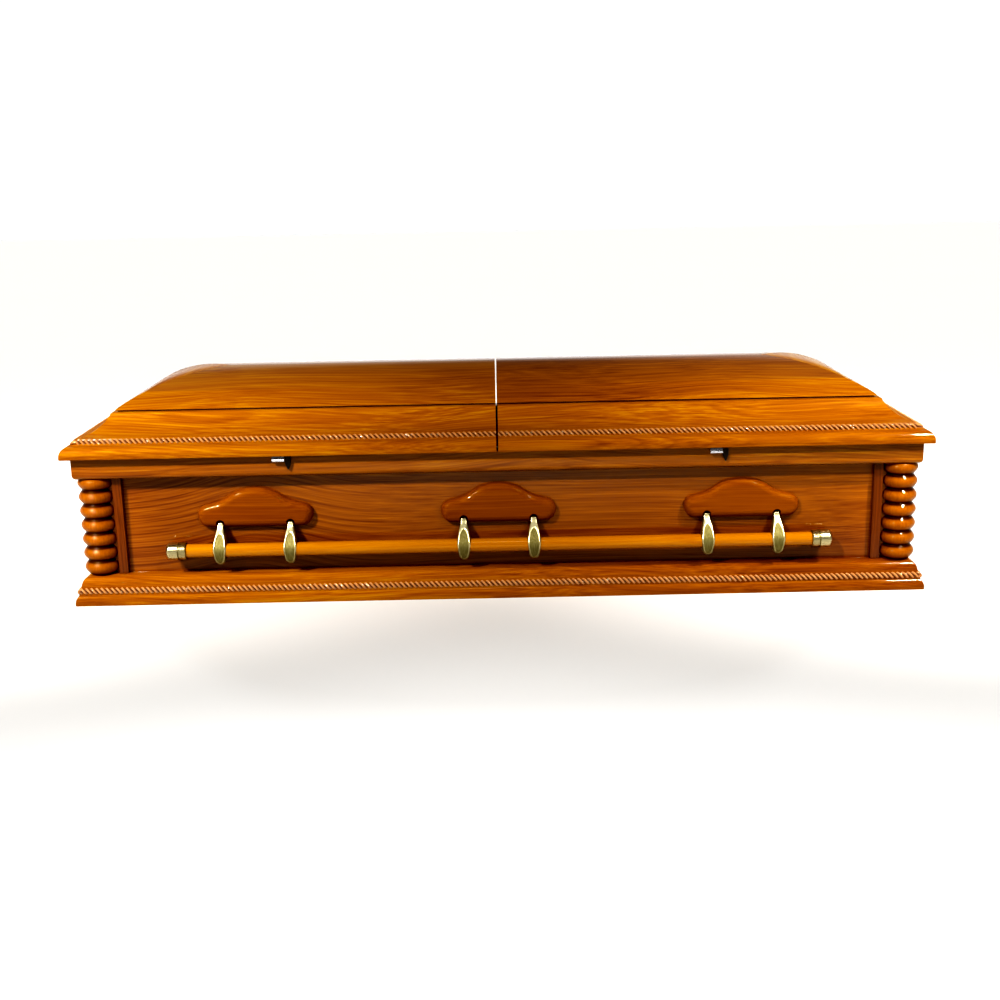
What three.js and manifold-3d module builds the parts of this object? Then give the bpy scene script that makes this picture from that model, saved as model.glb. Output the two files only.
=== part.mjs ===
// A varnished wooden casket with a domed lid in two halves, turned corner columns,
// rope mouldings, and a swinging bar handle along each long side.
// Millimetres, +X along the length, the front faces -Y, +Z is up.
// The origin is in the middle of the underside.

import * as THREE from 'three';
import { mergeVertices } from 'three/addons/utils/BufferGeometryUtils.js';
import Module from 'manifold-3d';

const wasm = await Module();
wasm.setup();

// Overall size, over the nose of the lid rim
const LENGTH = 2100;
const WIDTH = 710;
const HALF_LENGTH = LENGTH / 2;
const HALF_WIDTH = WIDTH / 2;

// Clearance between pieces that touch
const GAP = 0.3;

// An inset is a distance inwards from the nose of the lid rim, on any of the four sides
const PANEL_INSET = 58;
const STRIP_INSET = 44;
const EAR_INSET = 36;
const RAIL_INSET = 21;
const COLUMN_INSET = 20;

// Heights
const BOTTOM_BOARD_TOP = 18;
const BASE_TOP = 71;
const RAIL_BOTTOM = 314;
const RAIL_TOP = 367.6;
const RAIL_ROUNDING = 12;
const RAIL_ARRIS = 1;
const LID_BOTTOM = 368;
const GROOVE_Z = 464.4;
const CROWN_EDGE_Z = 467.8;
const RIDGE_Z = 541;

// Boards
const WALL = 18;
const CROWN_THICKNESS = 16;

// Cut between the two halves of the lid
const LID_SLOT = 4;

// Lid rim and crown, as insets
const RIM_INNER_INSET = PANEL_INSET + WALL;
const CROWN_EDGE_INSET = 113.5;
const CROWN_SEAT_INSET = 119;
const CROWN_INNER_INSET = 133;
const CROWN_STEPS = 12;

// Turned corner column
const COLUMN_RADIUS = 43;
const COLUMN_VALLEY_RADIUS = 33.5;
const RING_PITCH = 35.5;
const RING_COUNT = 7;
const RING_STEPS = 4;
const COLUMN_SIDES = 14;

// Vertical strip beside each column
const STRIP_OUTER_INSET = 108;
const STRIP_WIDTH = 23;

// Carved ear that carries two arms of a handle
const EAR_SPACING = 597;
const EAR_HALF_WIDTH = 141.5;
const EAR_BOTTOM = 184;
const EAR_TOP = 281.5;
const EAR_ROUNDING = 13;
const EAR_ROUNDING_DEPTH = 11;
const NOTCH_WIDTH = 20;
const NOTCH_CENTRE_Z = 194.5;

// Swinging handle
const ARM_OFFSET = 86;
const PIVOT_INSET = 46;
const PIVOT_Z = 190;
const BOSS_RADIUS = 8;
const ARM_STEPS = 16;
const BAR_INSET = 22;
const BAR_Z = 132;
const BAR_RADIUS = 17;
const BAR_HALF_LENGTH = 806;
const BAR_SIDES = 16;
const CAP_INNER_X = 766;
const CAP_LENGTH = 47;
const CAP_RADIUS = 21.5;
const CAP_END_WALL = 6;

// Catches under the front of the lid
const CATCH_X = 527;
const CATCH_LENGTH = 30;
const KEEPER_WIDTH = 13;
const KEEPER_DEPTH = 7;
const KEEPER_SPACE = 1;

// Long hinge along the back of each half
const HINGE_LENGTH = 720;
const HINGE_CENTRE_X = 520;
const HINGE_KNUCKLES = 5;
const HINGE_RADIUS = 3;
const HINGE_SIDES = 6;
const HINGE_STAND_OFF = 3.8;
const HINGE_AXIS_Y = HALF_WIDTH - RAIL_INSET + HINGE_STAND_OFF;
const HINGE_AXIS_Z = LID_BOTTOM - HINGE_STAND_OFF;
const HINGE_LEAF = 1.5;
const HINGE_LEAF_WIDTH = 17;
const HINGE_LEAF_MARGIN = 4;

// Finishes
const WOOD = { color: 0xb4560f, roughness: 0.25, metalness: 0 };
const BAR_WOOD = { color: 0xd27a16, roughness: 0.25, metalness: 0 };
const BRASS = { color: 0xcbbd86, roughness: 0.3, metalness: 1 };
const STEEL = { color: 0xc9c9cc, roughness: 0.35, metalness: 1 };
const DARK_STEEL = { color: 0x2a2624, roughness: 0.45, metalness: 1 };

// Solids

// A closed three.js geometry as a manifold solid
function solid(geometry) {
  const plain = geometry.clone();
  plain.deleteAttribute('normal');
  plain.deleteAttribute('uv');
  const merged = mergeVertices(plain, 1e-4);
  return new wasm.Manifold(new wasm.Mesh({
    numProp: 3,
    vertProperties: new Float32Array(merged.attributes.position.array),
    triVerts: new Uint32Array(merged.index.array),
  }));
}

// A manifold solid as a three.js geometry
function geometryOf(body) {
  const { vertProperties, triVerts } = body.getMesh();
  const geometry = new THREE.BufferGeometry();
  geometry.setAttribute('position', new THREE.BufferAttribute(vertProperties, 3));
  geometry.setIndex(new THREE.BufferAttribute(triVerts, 1));
  geometry.computeVertexNormals();
  return geometry;
}

function piece(name, geometry, finish, position = [0, 0, 0]) {
  const mesh = new THREE.Mesh(geometry, new THREE.MeshStandardMaterial(finish));
  mesh.name = name;
  mesh.position.set(...position);
  return mesh;
}

// A box between two opposite corners
function block([x0, y0, z0], [x1, y1, z1]) {
  const geometry = new THREE.BoxGeometry(x1 - x0, y1 - y0, z1 - z0);
  return geometry.translate((x0 + x1) / 2, (y0 + y1) / 2, (z0 + z1) / 2);
}

// An outline of [y, z] points carried along X from x0 to x1
function extrudeAlongX(outline, x0, x1) {
  const shape = new THREE.Shape(outline.map(([y, z]) => new THREE.Vector2(y, z)));
  const geometry = new THREE.ExtrudeGeometry(shape, { depth: x1 - x0, bevelEnabled: false });
  const axes = [new THREE.Vector3(0, 1, 0), new THREE.Vector3(0, 0, 1), new THREE.Vector3(1, 0, 0)];
  geometry.applyMatrix4(new THREE.Matrix4().makeBasis(...axes));
  return geometry.translate(x0, 0, 0);
}

// A shape drawn in [x, z] given a thickness along Y, from y0 to y1
function extrudeAlongY(shape, y0, y1, options = {}) {
  const settings = { depth: y1 - y0, bevelEnabled: false, curveSegments: 6, ...options };
  const geometry = new THREE.ExtrudeGeometry(shape, settings);
  geometry.rotateX(Math.PI / 2);
  return geometry.translate(0, y1, 0);
}

// A moulding carried round all four sides with mitred corners. Its section is a closed list
// of [inset, z] points that goes up the outer face, inwards over the top and down the inner face.
function mitredFrame(section) {
  const corners = [[-1, -1], [1, -1], [1, 1], [-1, 1]];
  const positions = [];
  for (const [sx, sy] of corners) {
    for (const [inset, z] of section) {
      positions.push(sx * (HALF_LENGTH - inset), sy * (HALF_WIDTH - inset), z);
    }
  }
  const count = section.length;
  const index = [];
  for (let side = 0; side < corners.length; side += 1) {
    const here = side * count;
    const there = ((side + 1) % corners.length) * count;
    for (let i = 0; i < count; i += 1) {
      const j = (i + 1) % count;
      index.push(here + i, there + i, there + j);
      index.push(here + i, there + j, here + j);
    }
  }
  const geometry = new THREE.BufferGeometry();
  geometry.setAttribute('position', new THREE.Float32BufferAttribute(positions, 3));
  geometry.setIndex(index);
  return geometry;
}

// The left or right half of a lid piece, cut at the slot
function lidHalf(whole, side) {
  const reach = LENGTH;
  const inner = side * LID_SLOT / 2;
  const outer = side * reach;
  const low = [Math.min(inner, outer), -reach, -reach];
  const high = [Math.max(inner, outer), reach, reach];
  return geometryOf(whole.intersect(solid(block(low, high))));
}

// Points of a half-round rope bead that stands on a flat seat between two section points
function ropeSection([inset0, z0], [inset1, z1], bulge, steps) {
  const across = new THREE.Vector2(inset1 - inset0, z1 - z0);
  const outward = new THREE.Vector2(-across.y, across.x).normalize();
  const lift = outward.clone().multiplyScalar(GAP);
  const points = [];
  for (let i = 0; i <= steps; i += 1) {
    const angle = Math.PI * i / steps;
    const along = (1 - Math.cos(angle)) / 2;
    const height = bulge * Math.sin(angle);
    points.push([
      inset0 + across.x * along + outward.x * height + lift.x,
      z0 + across.y * along + outward.y * height + lift.y,
    ]);
  }
  return points;
}

function curvePoints(curve, divisions) {
  return curve.getPoints(divisions).map((point) => [point.x, point.y]);
}

// Box

const BASE_ROPE_SEAT = [[13, 27.5], [18.5, 43.5]];
const LID_ROPE_SEAT = [[24, 400.5], [37, 412.5]];
const ROPE_BULGE = 6;
const ROPE_STEPS = 6;

// Ogee foot, the seat of the rope, and a rounded top that runs back to the panels
function baseSection() {
  const shoulder = new THREE.CubicBezierCurve(
    new THREE.Vector2(19, 46),
    new THREE.Vector2(21.5, 62),
    new THREE.Vector2(27, 69),
    new THREE.Vector2(46, BASE_TOP),
  );
  return [
    [6, 0], [5, 2], [5, 9], [7, 16], [10, 21.5], [13, 25],
    ...BASE_ROPE_SEAT,
    ...curvePoints(shoulder, 6),
    [PANEL_INSET - GAP, BASE_TOP],
    [PANEL_INSET - GAP, 0],
  ];
}

// Flat band with its lower edge rounded over
function railSection() {
  const centre = [RAIL_INSET + RAIL_ROUNDING, RAIL_BOTTOM + RAIL_ROUNDING];
  const quarter = [1.5 * Math.PI, Math.PI, true];
  const edge = new THREE.EllipseCurve(...centre, RAIL_ROUNDING, RAIL_ROUNDING, ...quarter);
  return [
    [PANEL_INSET - GAP, RAIL_BOTTOM],
    ...curvePoints(edge, 4),
    [RAIL_INSET, RAIL_TOP - RAIL_ARRIS],
    [RAIL_INSET + RAIL_ARRIS, RAIL_TOP],
    [PANEL_INSET - GAP, RAIL_TOP],
  ];
}

function boards() {
  const x = HALF_LENGTH - PANEL_INSET;
  const y = HALF_WIDTH - PANEL_INSET;
  const low = BOTTOM_BOARD_TOP + GAP;
  const innerX = x - WALL;
  const innerY = y - WALL;
  const endY = innerY - GAP;
  return [
    piece('bottom_board', block([GAP - x, GAP - y, 0], [x - GAP, y - GAP, BOTTOM_BOARD_TOP]), WOOD),
    piece('front_panel', block([-x, -y, low], [x, -innerY, RAIL_TOP]), WOOD),
    piece('back_panel', block([-x, innerY, low], [x, y, RAIL_TOP]), WOOD),
    piece('left_end_panel', block([-x, -endY, low], [-innerX, endY, RAIL_TOP]), WOOD),
    piece('right_end_panel', block([innerX, -endY, low], [x, endY, RAIL_TOP]), WOOD),
  ];
}

// Radius of the turned column at a height above its foot: each ring is half an ellipse
function ringRadius(height) {
  const t = 2 * (height % RING_PITCH) / RING_PITCH - 1;
  return COLUMN_VALLEY_RADIUS + (COLUMN_RADIUS - COLUMN_VALLEY_RADIUS) * Math.sqrt(1 - t * t);
}

// Column turned about Z, with the corner of the box notched out of it.
// Its outer quarter faces +X and +Y.
function columnGeometry() {
  const height = RAIL_BOTTOM - BASE_TOP - 2 * GAP;
  const profile = [new THREE.Vector2(0, 0)];
  for (let i = 0; i < RING_COUNT * RING_STEPS; i += 1) {
    const ring = Math.floor(i / RING_STEPS);
    const angle = Math.PI * (i % RING_STEPS) / RING_STEPS;
    const z = RING_PITCH * (ring + (1 - Math.cos(angle)) / 2);
    if (z < height) {
      profile.push(new THREE.Vector2(ringRadius(z), z));
    }
  }
  profile.push(new THREE.Vector2(ringRadius(height), height));
  profile.push(new THREE.Vector2(0, height));
  const turned = new THREE.LatheGeometry(profile, COLUMN_SIDES).rotateX(Math.PI / 2);
  const reach = 3 * COLUMN_RADIUS;
  const corner = COLUMN_INSET + COLUMN_RADIUS - PANEL_INSET + GAP;
  const boxCorner = block([-reach, -reach, -reach], [corner, corner, height + reach]);
  return geometryOf(solid(turned).subtract(solid(boxCorner)));
}

function columns() {
  const geometry = columnGeometry();
  const x = HALF_LENGTH - COLUMN_INSET - COLUMN_RADIUS;
  const y = HALF_WIDTH - COLUMN_INSET - COLUMN_RADIUS;
  const places = [
    ['column_back_right', x, y],
    ['column_back_left', -x, y],
    ['column_front_left', -x, -y],
    ['column_front_right', x, -y],
  ];
  return places.map(([name, px, py], quarter) => {
    const column = piece(name, geometry, WOOD, [px, py, BASE_TOP + GAP]);
    column.rotation.z = quarter * Math.PI / 2;
    return column;
  });
}

// Two flat strips flank each column, one on the long side and one on the end
function strips() {
  const low = BASE_TOP + GAP;
  const high = RAIL_BOTTOM - GAP;
  const depth = PANEL_INSET - GAP - STRIP_INSET;
  const longSide = block([-STRIP_WIDTH / 2, -depth / 2, low], [STRIP_WIDTH / 2, depth / 2, high]);
  const endSide = block([-depth / 2, -STRIP_WIDTH / 2, low], [depth / 2, STRIP_WIDTH / 2, high]);
  const middle = STRIP_OUTER_INSET + STRIP_WIDTH / 2;
  const face = STRIP_INSET + depth / 2;
  const made = [];
  for (const [sy, yName] of [[-1, 'front'], [1, 'back']]) {
    for (const [sx, xName] of [[-1, 'left'], [1, 'right']]) {
      const onSide = [sx * (HALF_LENGTH - middle), sy * (HALF_WIDTH - face), 0];
      const onEnd = [sx * (HALF_LENGTH - face), sy * (HALF_WIDTH - middle), 0];
      made.push(piece(`strip_${yName}_${xName}`, longSide, WOOD, onSide));
      made.push(piece(`strip_end_${yName}_${xName}`, endSide, WOOD, onEnd));
    }
  }
  return made;
}

// Outline of an ear, drawn round its own centre line: a hump, hollow shoulders and round ends
function earShape() {
  const w = EAR_HALF_WIDTH;
  const shape = new THREE.Shape();
  shape.moveTo(30 - w, EAR_BOTTOM);
  shape.lineTo(w - 30, EAR_BOTTOM);
  shape.bezierCurveTo(w - 10, EAR_BOTTOM, w, 200, w, 215);
  shape.bezierCurveTo(w, 229, w - 8, 237, w - 24, 241);
  shape.bezierCurveTo(w - 42, 245, w - 58, 249, w - 76, 262);
  shape.bezierCurveTo(w - 92, 274, w - 112, EAR_TOP, 0, EAR_TOP);
  shape.bezierCurveTo(112 - w, EAR_TOP, 92 - w, 274, 76 - w, 262);
  shape.bezierCurveTo(58 - w, 249, 42 - w, 245, 24 - w, 241);
  shape.bezierCurveTo(8 - w, 237, -w, 229, -w, 215);
  shape.bezierCurveTo(-w, 200, 10 - w, EAR_BOTTOM, 30 - w, EAR_BOTTOM);
  return shape;
}

// A slot with a round top, open downwards, where an arm hangs
function notchShape(centre) {
  const half = NOTCH_WIDTH / 2;
  const shape = new THREE.Shape();
  shape.moveTo(centre + half, EAR_BOTTOM - half);
  shape.lineTo(centre + half, NOTCH_CENTRE_Z);
  shape.absarc(centre, NOTCH_CENTRE_Z, half, 0, Math.PI, false);
  shape.lineTo(centre - half, EAR_BOTTOM - half);
  return shape;
}

// The ear's front edge is rounded over, its back is flat against the panel,
// and it has a notch for each arm
function earGeometry() {
  const front = EAR_INSET - HALF_WIDTH;
  const back = PANEL_INSET - GAP - HALF_WIDTH;
  const rounding = {
    bevelEnabled: true,
    bevelSize: EAR_ROUNDING,
    bevelThickness: EAR_ROUNDING_DEPTH,
    bevelOffset: -EAR_ROUNDING,
    bevelSegments: 2,
    curveSegments: 3,
  };
  const [near, far] = [front + EAR_ROUNDING_DEPTH, back + EAR_ROUNDING_DEPTH];
  const rounded = extrudeAlongY(earShape(), near, far, rounding);
  const keep = block([-HALF_WIDTH, front - GAP, 0], [HALF_WIDTH, back, RAIL_BOTTOM]);
  let ear = solid(rounded).intersect(solid(keep));
  for (const centre of [-ARM_OFFSET, ARM_OFFSET]) {
    const notch = extrudeAlongY(notchShape(centre), -HALF_WIDTH, 0, { curveSegments: 4 });
    ear = ear.subtract(solid(notch));
  }
  return geometryOf(ear);
}

// Handle, drawn for the front side

// A point on the boss at an arm's pivot, at an angle that rises from its front
function bossPoint(degrees) {
  const angle = THREE.MathUtils.degToRad(degrees);
  return [PIVOT_INSET - BOSS_RADIUS * Math.cos(angle), PIVOT_Z + BOSS_RADIUS * Math.sin(angle)];
}

// Side view of an arm as [y, z] points: a boss at the pivot, a neck that leans outwards,
// a broad foot round the bar and a rounded tip
function armSideOutline() {
  const outline = new THREE.SplineCurve([
    bossPoint(90), bossPoint(45), bossPoint(0), [35, 184], [22, 171], [9, 154], [2.4, 138],
    [2, 124], [7, 107], [17, 97.4], [31, 103], [42, 118], [44, 133], [38.5, 150], [38, 163],
    [46, 177], bossPoint(218), bossPoint(158), bossPoint(90),
  ].map(([inset, z]) => new THREE.Vector2(inset - HALF_WIDTH, z)));
  return curvePoints(outline, ARM_STEPS).slice(0, -1);
}

// Front view of an arm: half-widths at each height, the same on both sides
function armFrontShape() {
  const halfWidths = [
    [97, 3], [99.5, 7], [105, 11], [114, 13.4], [128, 15.9], [139, 17.4], [150, 15.9],
    [173, 11.4], [184, 7.5], [192, 6.8], [198.2, 4],
  ];
  const right = halfWidths.map(([z, half]) => new THREE.Vector2(half, z));
  const left = halfWidths.map(([z, half]) => new THREE.Vector2(-half, z)).reverse();
  return new THREE.Shape([...right, ...left]);
}

function barCylinder(radius, length, sides) {
  return new THREE.CylinderGeometry(radius, radius, length, sides).rotateZ(Math.PI / 2);
}

function armGeometry() {
  const side = extrudeAlongX(armSideOutline(), -2 * CAP_RADIUS, 2 * CAP_RADIUS);
  const front = extrudeAlongY(armFrontShape(), -HALF_WIDTH - CAP_RADIUS, 0);
  const bore = barCylinder(BAR_RADIUS + GAP, 4 * CAP_RADIUS, BAR_SIDES);
  bore.translate(0, BAR_INSET - HALF_WIDTH, BAR_Z);
  return geometryOf(solid(side).intersect(solid(front)).subtract(solid(bore)));
}

// A turned brass cup over the end of the bar, open towards -X, with a rounded far edge
function capGeometry() {
  const inner = BAR_RADIUS + GAP;
  const floor = CAP_LENGTH - CAP_END_WALL;
  const profile = [
    [0, floor], [inner, floor], [inner, 0], [CAP_RADIUS, 0], [CAP_RADIUS, CAP_LENGTH - 8],
    [CAP_RADIUS - 2, CAP_LENGTH - 3], [CAP_RADIUS - 7, CAP_LENGTH], [0, CAP_LENGTH],
  ].map(([radius, along]) => new THREE.Vector2(radius, along));
  return new THREE.LatheGeometry(profile, BAR_SIDES).rotateZ(-Math.PI / 2);
}

function handle(side) {
  const group = new THREE.Group();
  const y = BAR_INSET - HALF_WIDTH;
  const bar = barCylinder(BAR_RADIUS, 2 * BAR_HALF_LENGTH, BAR_SIDES);
  group.add(piece(`${side}_bar`, bar, BAR_WOOD, [0, y, BAR_Z]));

  const capShape = capGeometry();
  group.add(piece(`${side}_bar_cap_1`, capShape, BRASS, [CAP_INNER_X, y, BAR_Z]));
  const farCap = piece(`${side}_bar_cap_2`, capShape, BRASS, [-CAP_INNER_X, y, BAR_Z]);
  farCap.rotation.z = Math.PI;
  group.add(farCap);

  const arm = armGeometry();
  const centres = [-EAR_SPACING, 0, EAR_SPACING];
  centres.forEach((centre, i) => {
    group.add(piece(`${side}_ear_${i + 1}`, earGeometry(), WOOD, [centre, 0, 0]));
    group.add(piece(`${side}_arm_${2 * i + 1}`, arm, BRASS, [centre - ARM_OFFSET, 0, 0]));
    group.add(piece(`${side}_arm_${2 * i + 2}`, arm, BRASS, [centre + ARM_OFFSET, 0, 0]));
  });
  return group;
}

// Lid

// Nose, ovolo, rope seat, hollow cove and top fillet, with a stepped inner face
function rimSection() {
  const ovolo = new THREE.QuadraticBezierCurve(
    new THREE.Vector2(0, 376),
    new THREE.Vector2(3, 388),
    new THREE.Vector2(23.5, 400),
  );
  const cove = new THREE.QuadraticBezierCurve(
    new THREE.Vector2(40.5, 413.5),
    new THREE.Vector2(80, 423),
    new THREE.Vector2(102, 457),
  );
  return [
    [RIM_INNER_INSET, LID_BOTTOM], [2, LID_BOTTOM], [0, LID_BOTTOM + 2],
    ...curvePoints(ovolo, 4),
    ...LID_ROPE_SEAT,
    ...curvePoints(cove, 8),
    [103.5, 461.5], [109, 463.6], [110, GROOVE_Z],
    [CROWN_INNER_INSET, GROOVE_Z], [CROWN_INNER_INSET, 457], [108, 440], [80, 414],
    [RIM_INNER_INSET, 410],
  ];
}

// Section of the vault from its edge to the ridge, as [inset, z] points. The rise is mostly
// a parabola, with some ellipse in it to round the edge. The edge may stand on a straight wall.
function vaultProfile(edgeInset, edgeZ, ridgeZ, floorZ = edgeZ) {
  const points = floorZ < edgeZ ? [[edgeInset, floorZ]] : [];
  for (let i = 0; i <= CROWN_STEPS; i += 1) {
    const angle = Math.PI / 2 * i / CROWN_STEPS;
    const inset = HALF_WIDTH - (HALF_WIDTH - edgeInset) * Math.cos(angle);
    const rise = 0.8 * Math.sin(angle) ** 2 + 0.2 * Math.sin(angle);
    points.push([inset, edgeZ + (ridgeZ - edgeZ) * rise]);
  }
  return points;
}

// A vault hipped at both ends: the same arch is carried along the length and across the ends,
// and what both have in common is kept
function hippedVault(profile) {
  const across = profile.map(([inset, z]) => [inset - HALF_WIDTH, z]);
  const mirrored = profile.slice(0, -1).map(([inset, z]) => [HALF_WIDTH - inset, z]).reverse();
  const along = solid(extrudeAlongX([...across, ...mirrored], -HALF_LENGTH, HALF_LENGTH));

  const left = profile.map(([inset, z]) => new THREE.Vector2(inset - HALF_LENGTH, z));
  const right = profile.map(([inset, z]) => new THREE.Vector2(HALF_LENGTH - inset, z)).reverse();
  const ends = solid(extrudeAlongY(new THREE.Shape([...left, ...right]), -HALF_WIDTH, HALF_WIDTH));
  return along.intersect(ends);
}

// The crown is a hollow shell whose lower lip overhangs the groove
function crown() {
  const low = GROOVE_Z + GAP;
  const under = low - CROWN_THICKNESS;
  const innerRidge = RIDGE_Z - CROWN_THICKNESS;
  const outer = hippedVault(vaultProfile(CROWN_EDGE_INSET, CROWN_EDGE_Z, RIDGE_Z));
  const inner = hippedVault(vaultProfile(CROWN_INNER_INSET, CROWN_EDGE_Z, innerRidge, under));
  const x = HALF_LENGTH - CROWN_SEAT_INSET;
  const y = HALF_WIDTH - CROWN_SEAT_INSET;
  const seat = solid(block([-x, -y, low], [x, y, CROWN_EDGE_Z + 1]));
  return outer.add(seat).subtract(inner);
}

// A hinge leaf along X with every second knuckle. A tab at each knuckle joins it to the leaf.
// Leaf and tab are [y0, z0, y1, z1] in the side view.
function hingeGeometry(leaf, tab, firstKnuckle) {
  const pitch = HINGE_LENGTH / HINGE_KNUCKLES;
  const half = pitch / 2 - GAP;
  const slab = (x0, x1, [y0, z0, y1, z1]) => solid(block([x0, y0, z0], [x1, y1, z1]));
  let body = slab(-HINGE_LENGTH / 2, HINGE_LENGTH / 2, leaf);
  for (let i = firstKnuckle; i < HINGE_KNUCKLES; i += 2) {
    const x = (i + 0.5) * pitch - HINGE_LENGTH / 2;
    const knuckle = barCylinder(HINGE_RADIUS, 2 * half, HINGE_SIDES);
    body = body.add(slab(x - half, x + half, tab));
    body = body.add(solid(knuckle.translate(x, HINGE_AXIS_Y, HINGE_AXIS_Z)));
  }
  return geometryOf(body);
}

// One leaf lies on the back of the rail, the other under the overhanging rim
function hinges(name, side) {
  const x = side * HINGE_CENTRE_X;
  const clear = HINGE_RADIUS + GAP;
  const railFace = HALF_WIDTH - RAIL_INSET + GAP;
  const railLeafBack = railFace + HINGE_LEAF;
  const railLeafTop = HINGE_AXIS_Z - clear;
  const railLeafLow = HINGE_AXIS_Z - HINGE_LEAF_WIDTH;
  const railLeaf = [railFace, railLeafLow, railLeafBack, railLeafTop];
  const railTab = [railFace, railLeafTop - 1, railLeafBack, HINGE_AXIS_Z];

  const rimTop = LID_BOTTOM - GAP;
  const rimLow = rimTop - HINGE_LEAF;
  const rimStart = HINGE_AXIS_Y + clear;
  const rimLeaf = [rimStart, rimLow, HALF_WIDTH - HINGE_LEAF_MARGIN, rimTop];
  const rimTab = [HINGE_AXIS_Y, rimLow, rimStart + 1, rimTop];
  return {
    fixed: piece(`hinge_rail_leaf_${name}`, hingeGeometry(railLeaf, railTab, 0), BRASS, [x, 0, 0]),
    moving: piece(`hinge_lid_leaf_${name}`, hingeGeometry(rimLeaf, rimTab, 1), BRASS, [x, 0, 0]),
  };
}

// A small plate under the rim with its lower edge rolled forwards
function catchPlateGeometry() {
  const top = LID_BOTTOM - GAP;
  const back = 15;
  const outline = [
    [back, top], [back, 357], [13.5, 353.5], [10.5, 352.5], [7.5, 354], [6.5, 357],
    [8, 360], [11.5, 361.5], [11.5, top],
  ].map(([inset, z]) => [inset - HALF_WIDTH, z]);
  return extrudeAlongX(outline, -CATCH_LENGTH / 2, CATCH_LENGTH / 2);
}

// A dark tongue on the face of the rail, beside the catch plate
function keeperGeometry() {
  const half = KEEPER_WIDTH / 2;
  const outline = [[-half, 364], [-half, 348], [-half / 2, 338], [0, 332], [half / 2, 338]];
  outline.push([half, 348], [half, 364]);
  const shape = new THREE.Shape(outline.map(([x, z]) => new THREE.Vector2(x, z)));
  const face = RAIL_INSET - GAP - HALF_WIDTH;
  return extrudeAlongY(shape, face - KEEPER_DEPTH, face);
}

// One half of the lid
function lid(name, side, parts) {
  const group = new THREE.Group();
  group.add(piece(`lid_rim_${name}`, lidHalf(parts.rim, side), WOOD));
  group.add(piece(`lid_rope_${name}`, lidHalf(parts.rope, side), WOOD));
  group.add(piece(`lid_crown_${name}`, lidHalf(parts.crown, side), WOOD));
  group.add(piece(`lid_catch_${name}`, catchPlateGeometry(), STEEL, [side * CATCH_X, 0, 0]));
  group.add(hinges(name, side).moving);
  return group;
}

// The parts of the box that carry the lid's fittings
function lidFittings(name, side) {
  const keeperX = side * CATCH_X + (CATCH_LENGTH + KEEPER_WIDTH) / 2 + KEEPER_SPACE;
  return [
    piece(`catch_keeper_${name}`, keeperGeometry(), DARK_STEEL, [keeperX, 0, 0]),
    hinges(name, side).fixed,
  ];
}

const casket = new THREE.Group();

const baseRope = ropeSection(...BASE_ROPE_SEAT, ROPE_BULGE, ROPE_STEPS);
casket.add(piece('base_moulding', mitredFrame(baseSection()), WOOD));
casket.add(piece('base_rope', mitredFrame(baseRope), WOOD));
casket.add(piece('top_rail', mitredFrame(railSection()), WOOD));
casket.add(...boards());
casket.add(...columns());
casket.add(...strips());

const lidRope = ropeSection(...LID_ROPE_SEAT, ROPE_BULGE, ROPE_STEPS);
const lidParts = {
  rim: solid(mitredFrame(rimSection())),
  rope: solid(mitredFrame(lidRope)),
  crown: crown(),
};
for (const [name, side] of [['left', -1], ['right', 1]]) {
  casket.add(lid(name, side, lidParts));
  casket.add(...lidFittings(name, side));
}

const backHandle = handle('back');
backHandle.rotation.z = Math.PI;
casket.add(handle('front'), backHandle);

export default casket;
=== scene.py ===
# %% [markdown]
# A varnished wooden casket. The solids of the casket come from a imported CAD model, which is loaded
# as a fixed frame: nothing in it is moved or resized here. What this lesson adds is the surface
# that the eye sees: carved rope, turned columns, smooth mouldings, cast brass and, above all,
# glossy varnish over grain. Each piece is made where the CAD says it is, rides on the CAD body it
# belongs to, and stands for its solid.

import math

import bmesh
import bpy
import numpy as np
from mathutils import Matrix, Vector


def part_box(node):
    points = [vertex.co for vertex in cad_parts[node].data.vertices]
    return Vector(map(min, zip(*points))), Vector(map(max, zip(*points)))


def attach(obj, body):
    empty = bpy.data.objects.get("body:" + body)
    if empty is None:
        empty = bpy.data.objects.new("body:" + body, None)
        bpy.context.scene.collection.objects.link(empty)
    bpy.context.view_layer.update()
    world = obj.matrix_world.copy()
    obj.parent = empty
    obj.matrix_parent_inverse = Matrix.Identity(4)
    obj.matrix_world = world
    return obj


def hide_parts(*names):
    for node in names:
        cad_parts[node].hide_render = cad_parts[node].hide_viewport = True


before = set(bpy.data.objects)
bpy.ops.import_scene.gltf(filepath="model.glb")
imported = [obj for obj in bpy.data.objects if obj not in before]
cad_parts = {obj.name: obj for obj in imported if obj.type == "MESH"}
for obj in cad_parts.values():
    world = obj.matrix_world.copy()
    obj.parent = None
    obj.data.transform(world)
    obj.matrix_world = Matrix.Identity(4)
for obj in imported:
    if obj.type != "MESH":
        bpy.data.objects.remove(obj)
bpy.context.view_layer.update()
MM = 0.001

# %% [markdown]
# Every moulding of the casket runs round the same rectangle, so the most useful measure on it is
# the inset: how far a point lies inwards from the nose of the lid rim, on any of the four sides.
# Lengths and heights are read from the frame's boxes. Profiles are drawn in millimetres as inset
# and height.

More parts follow.
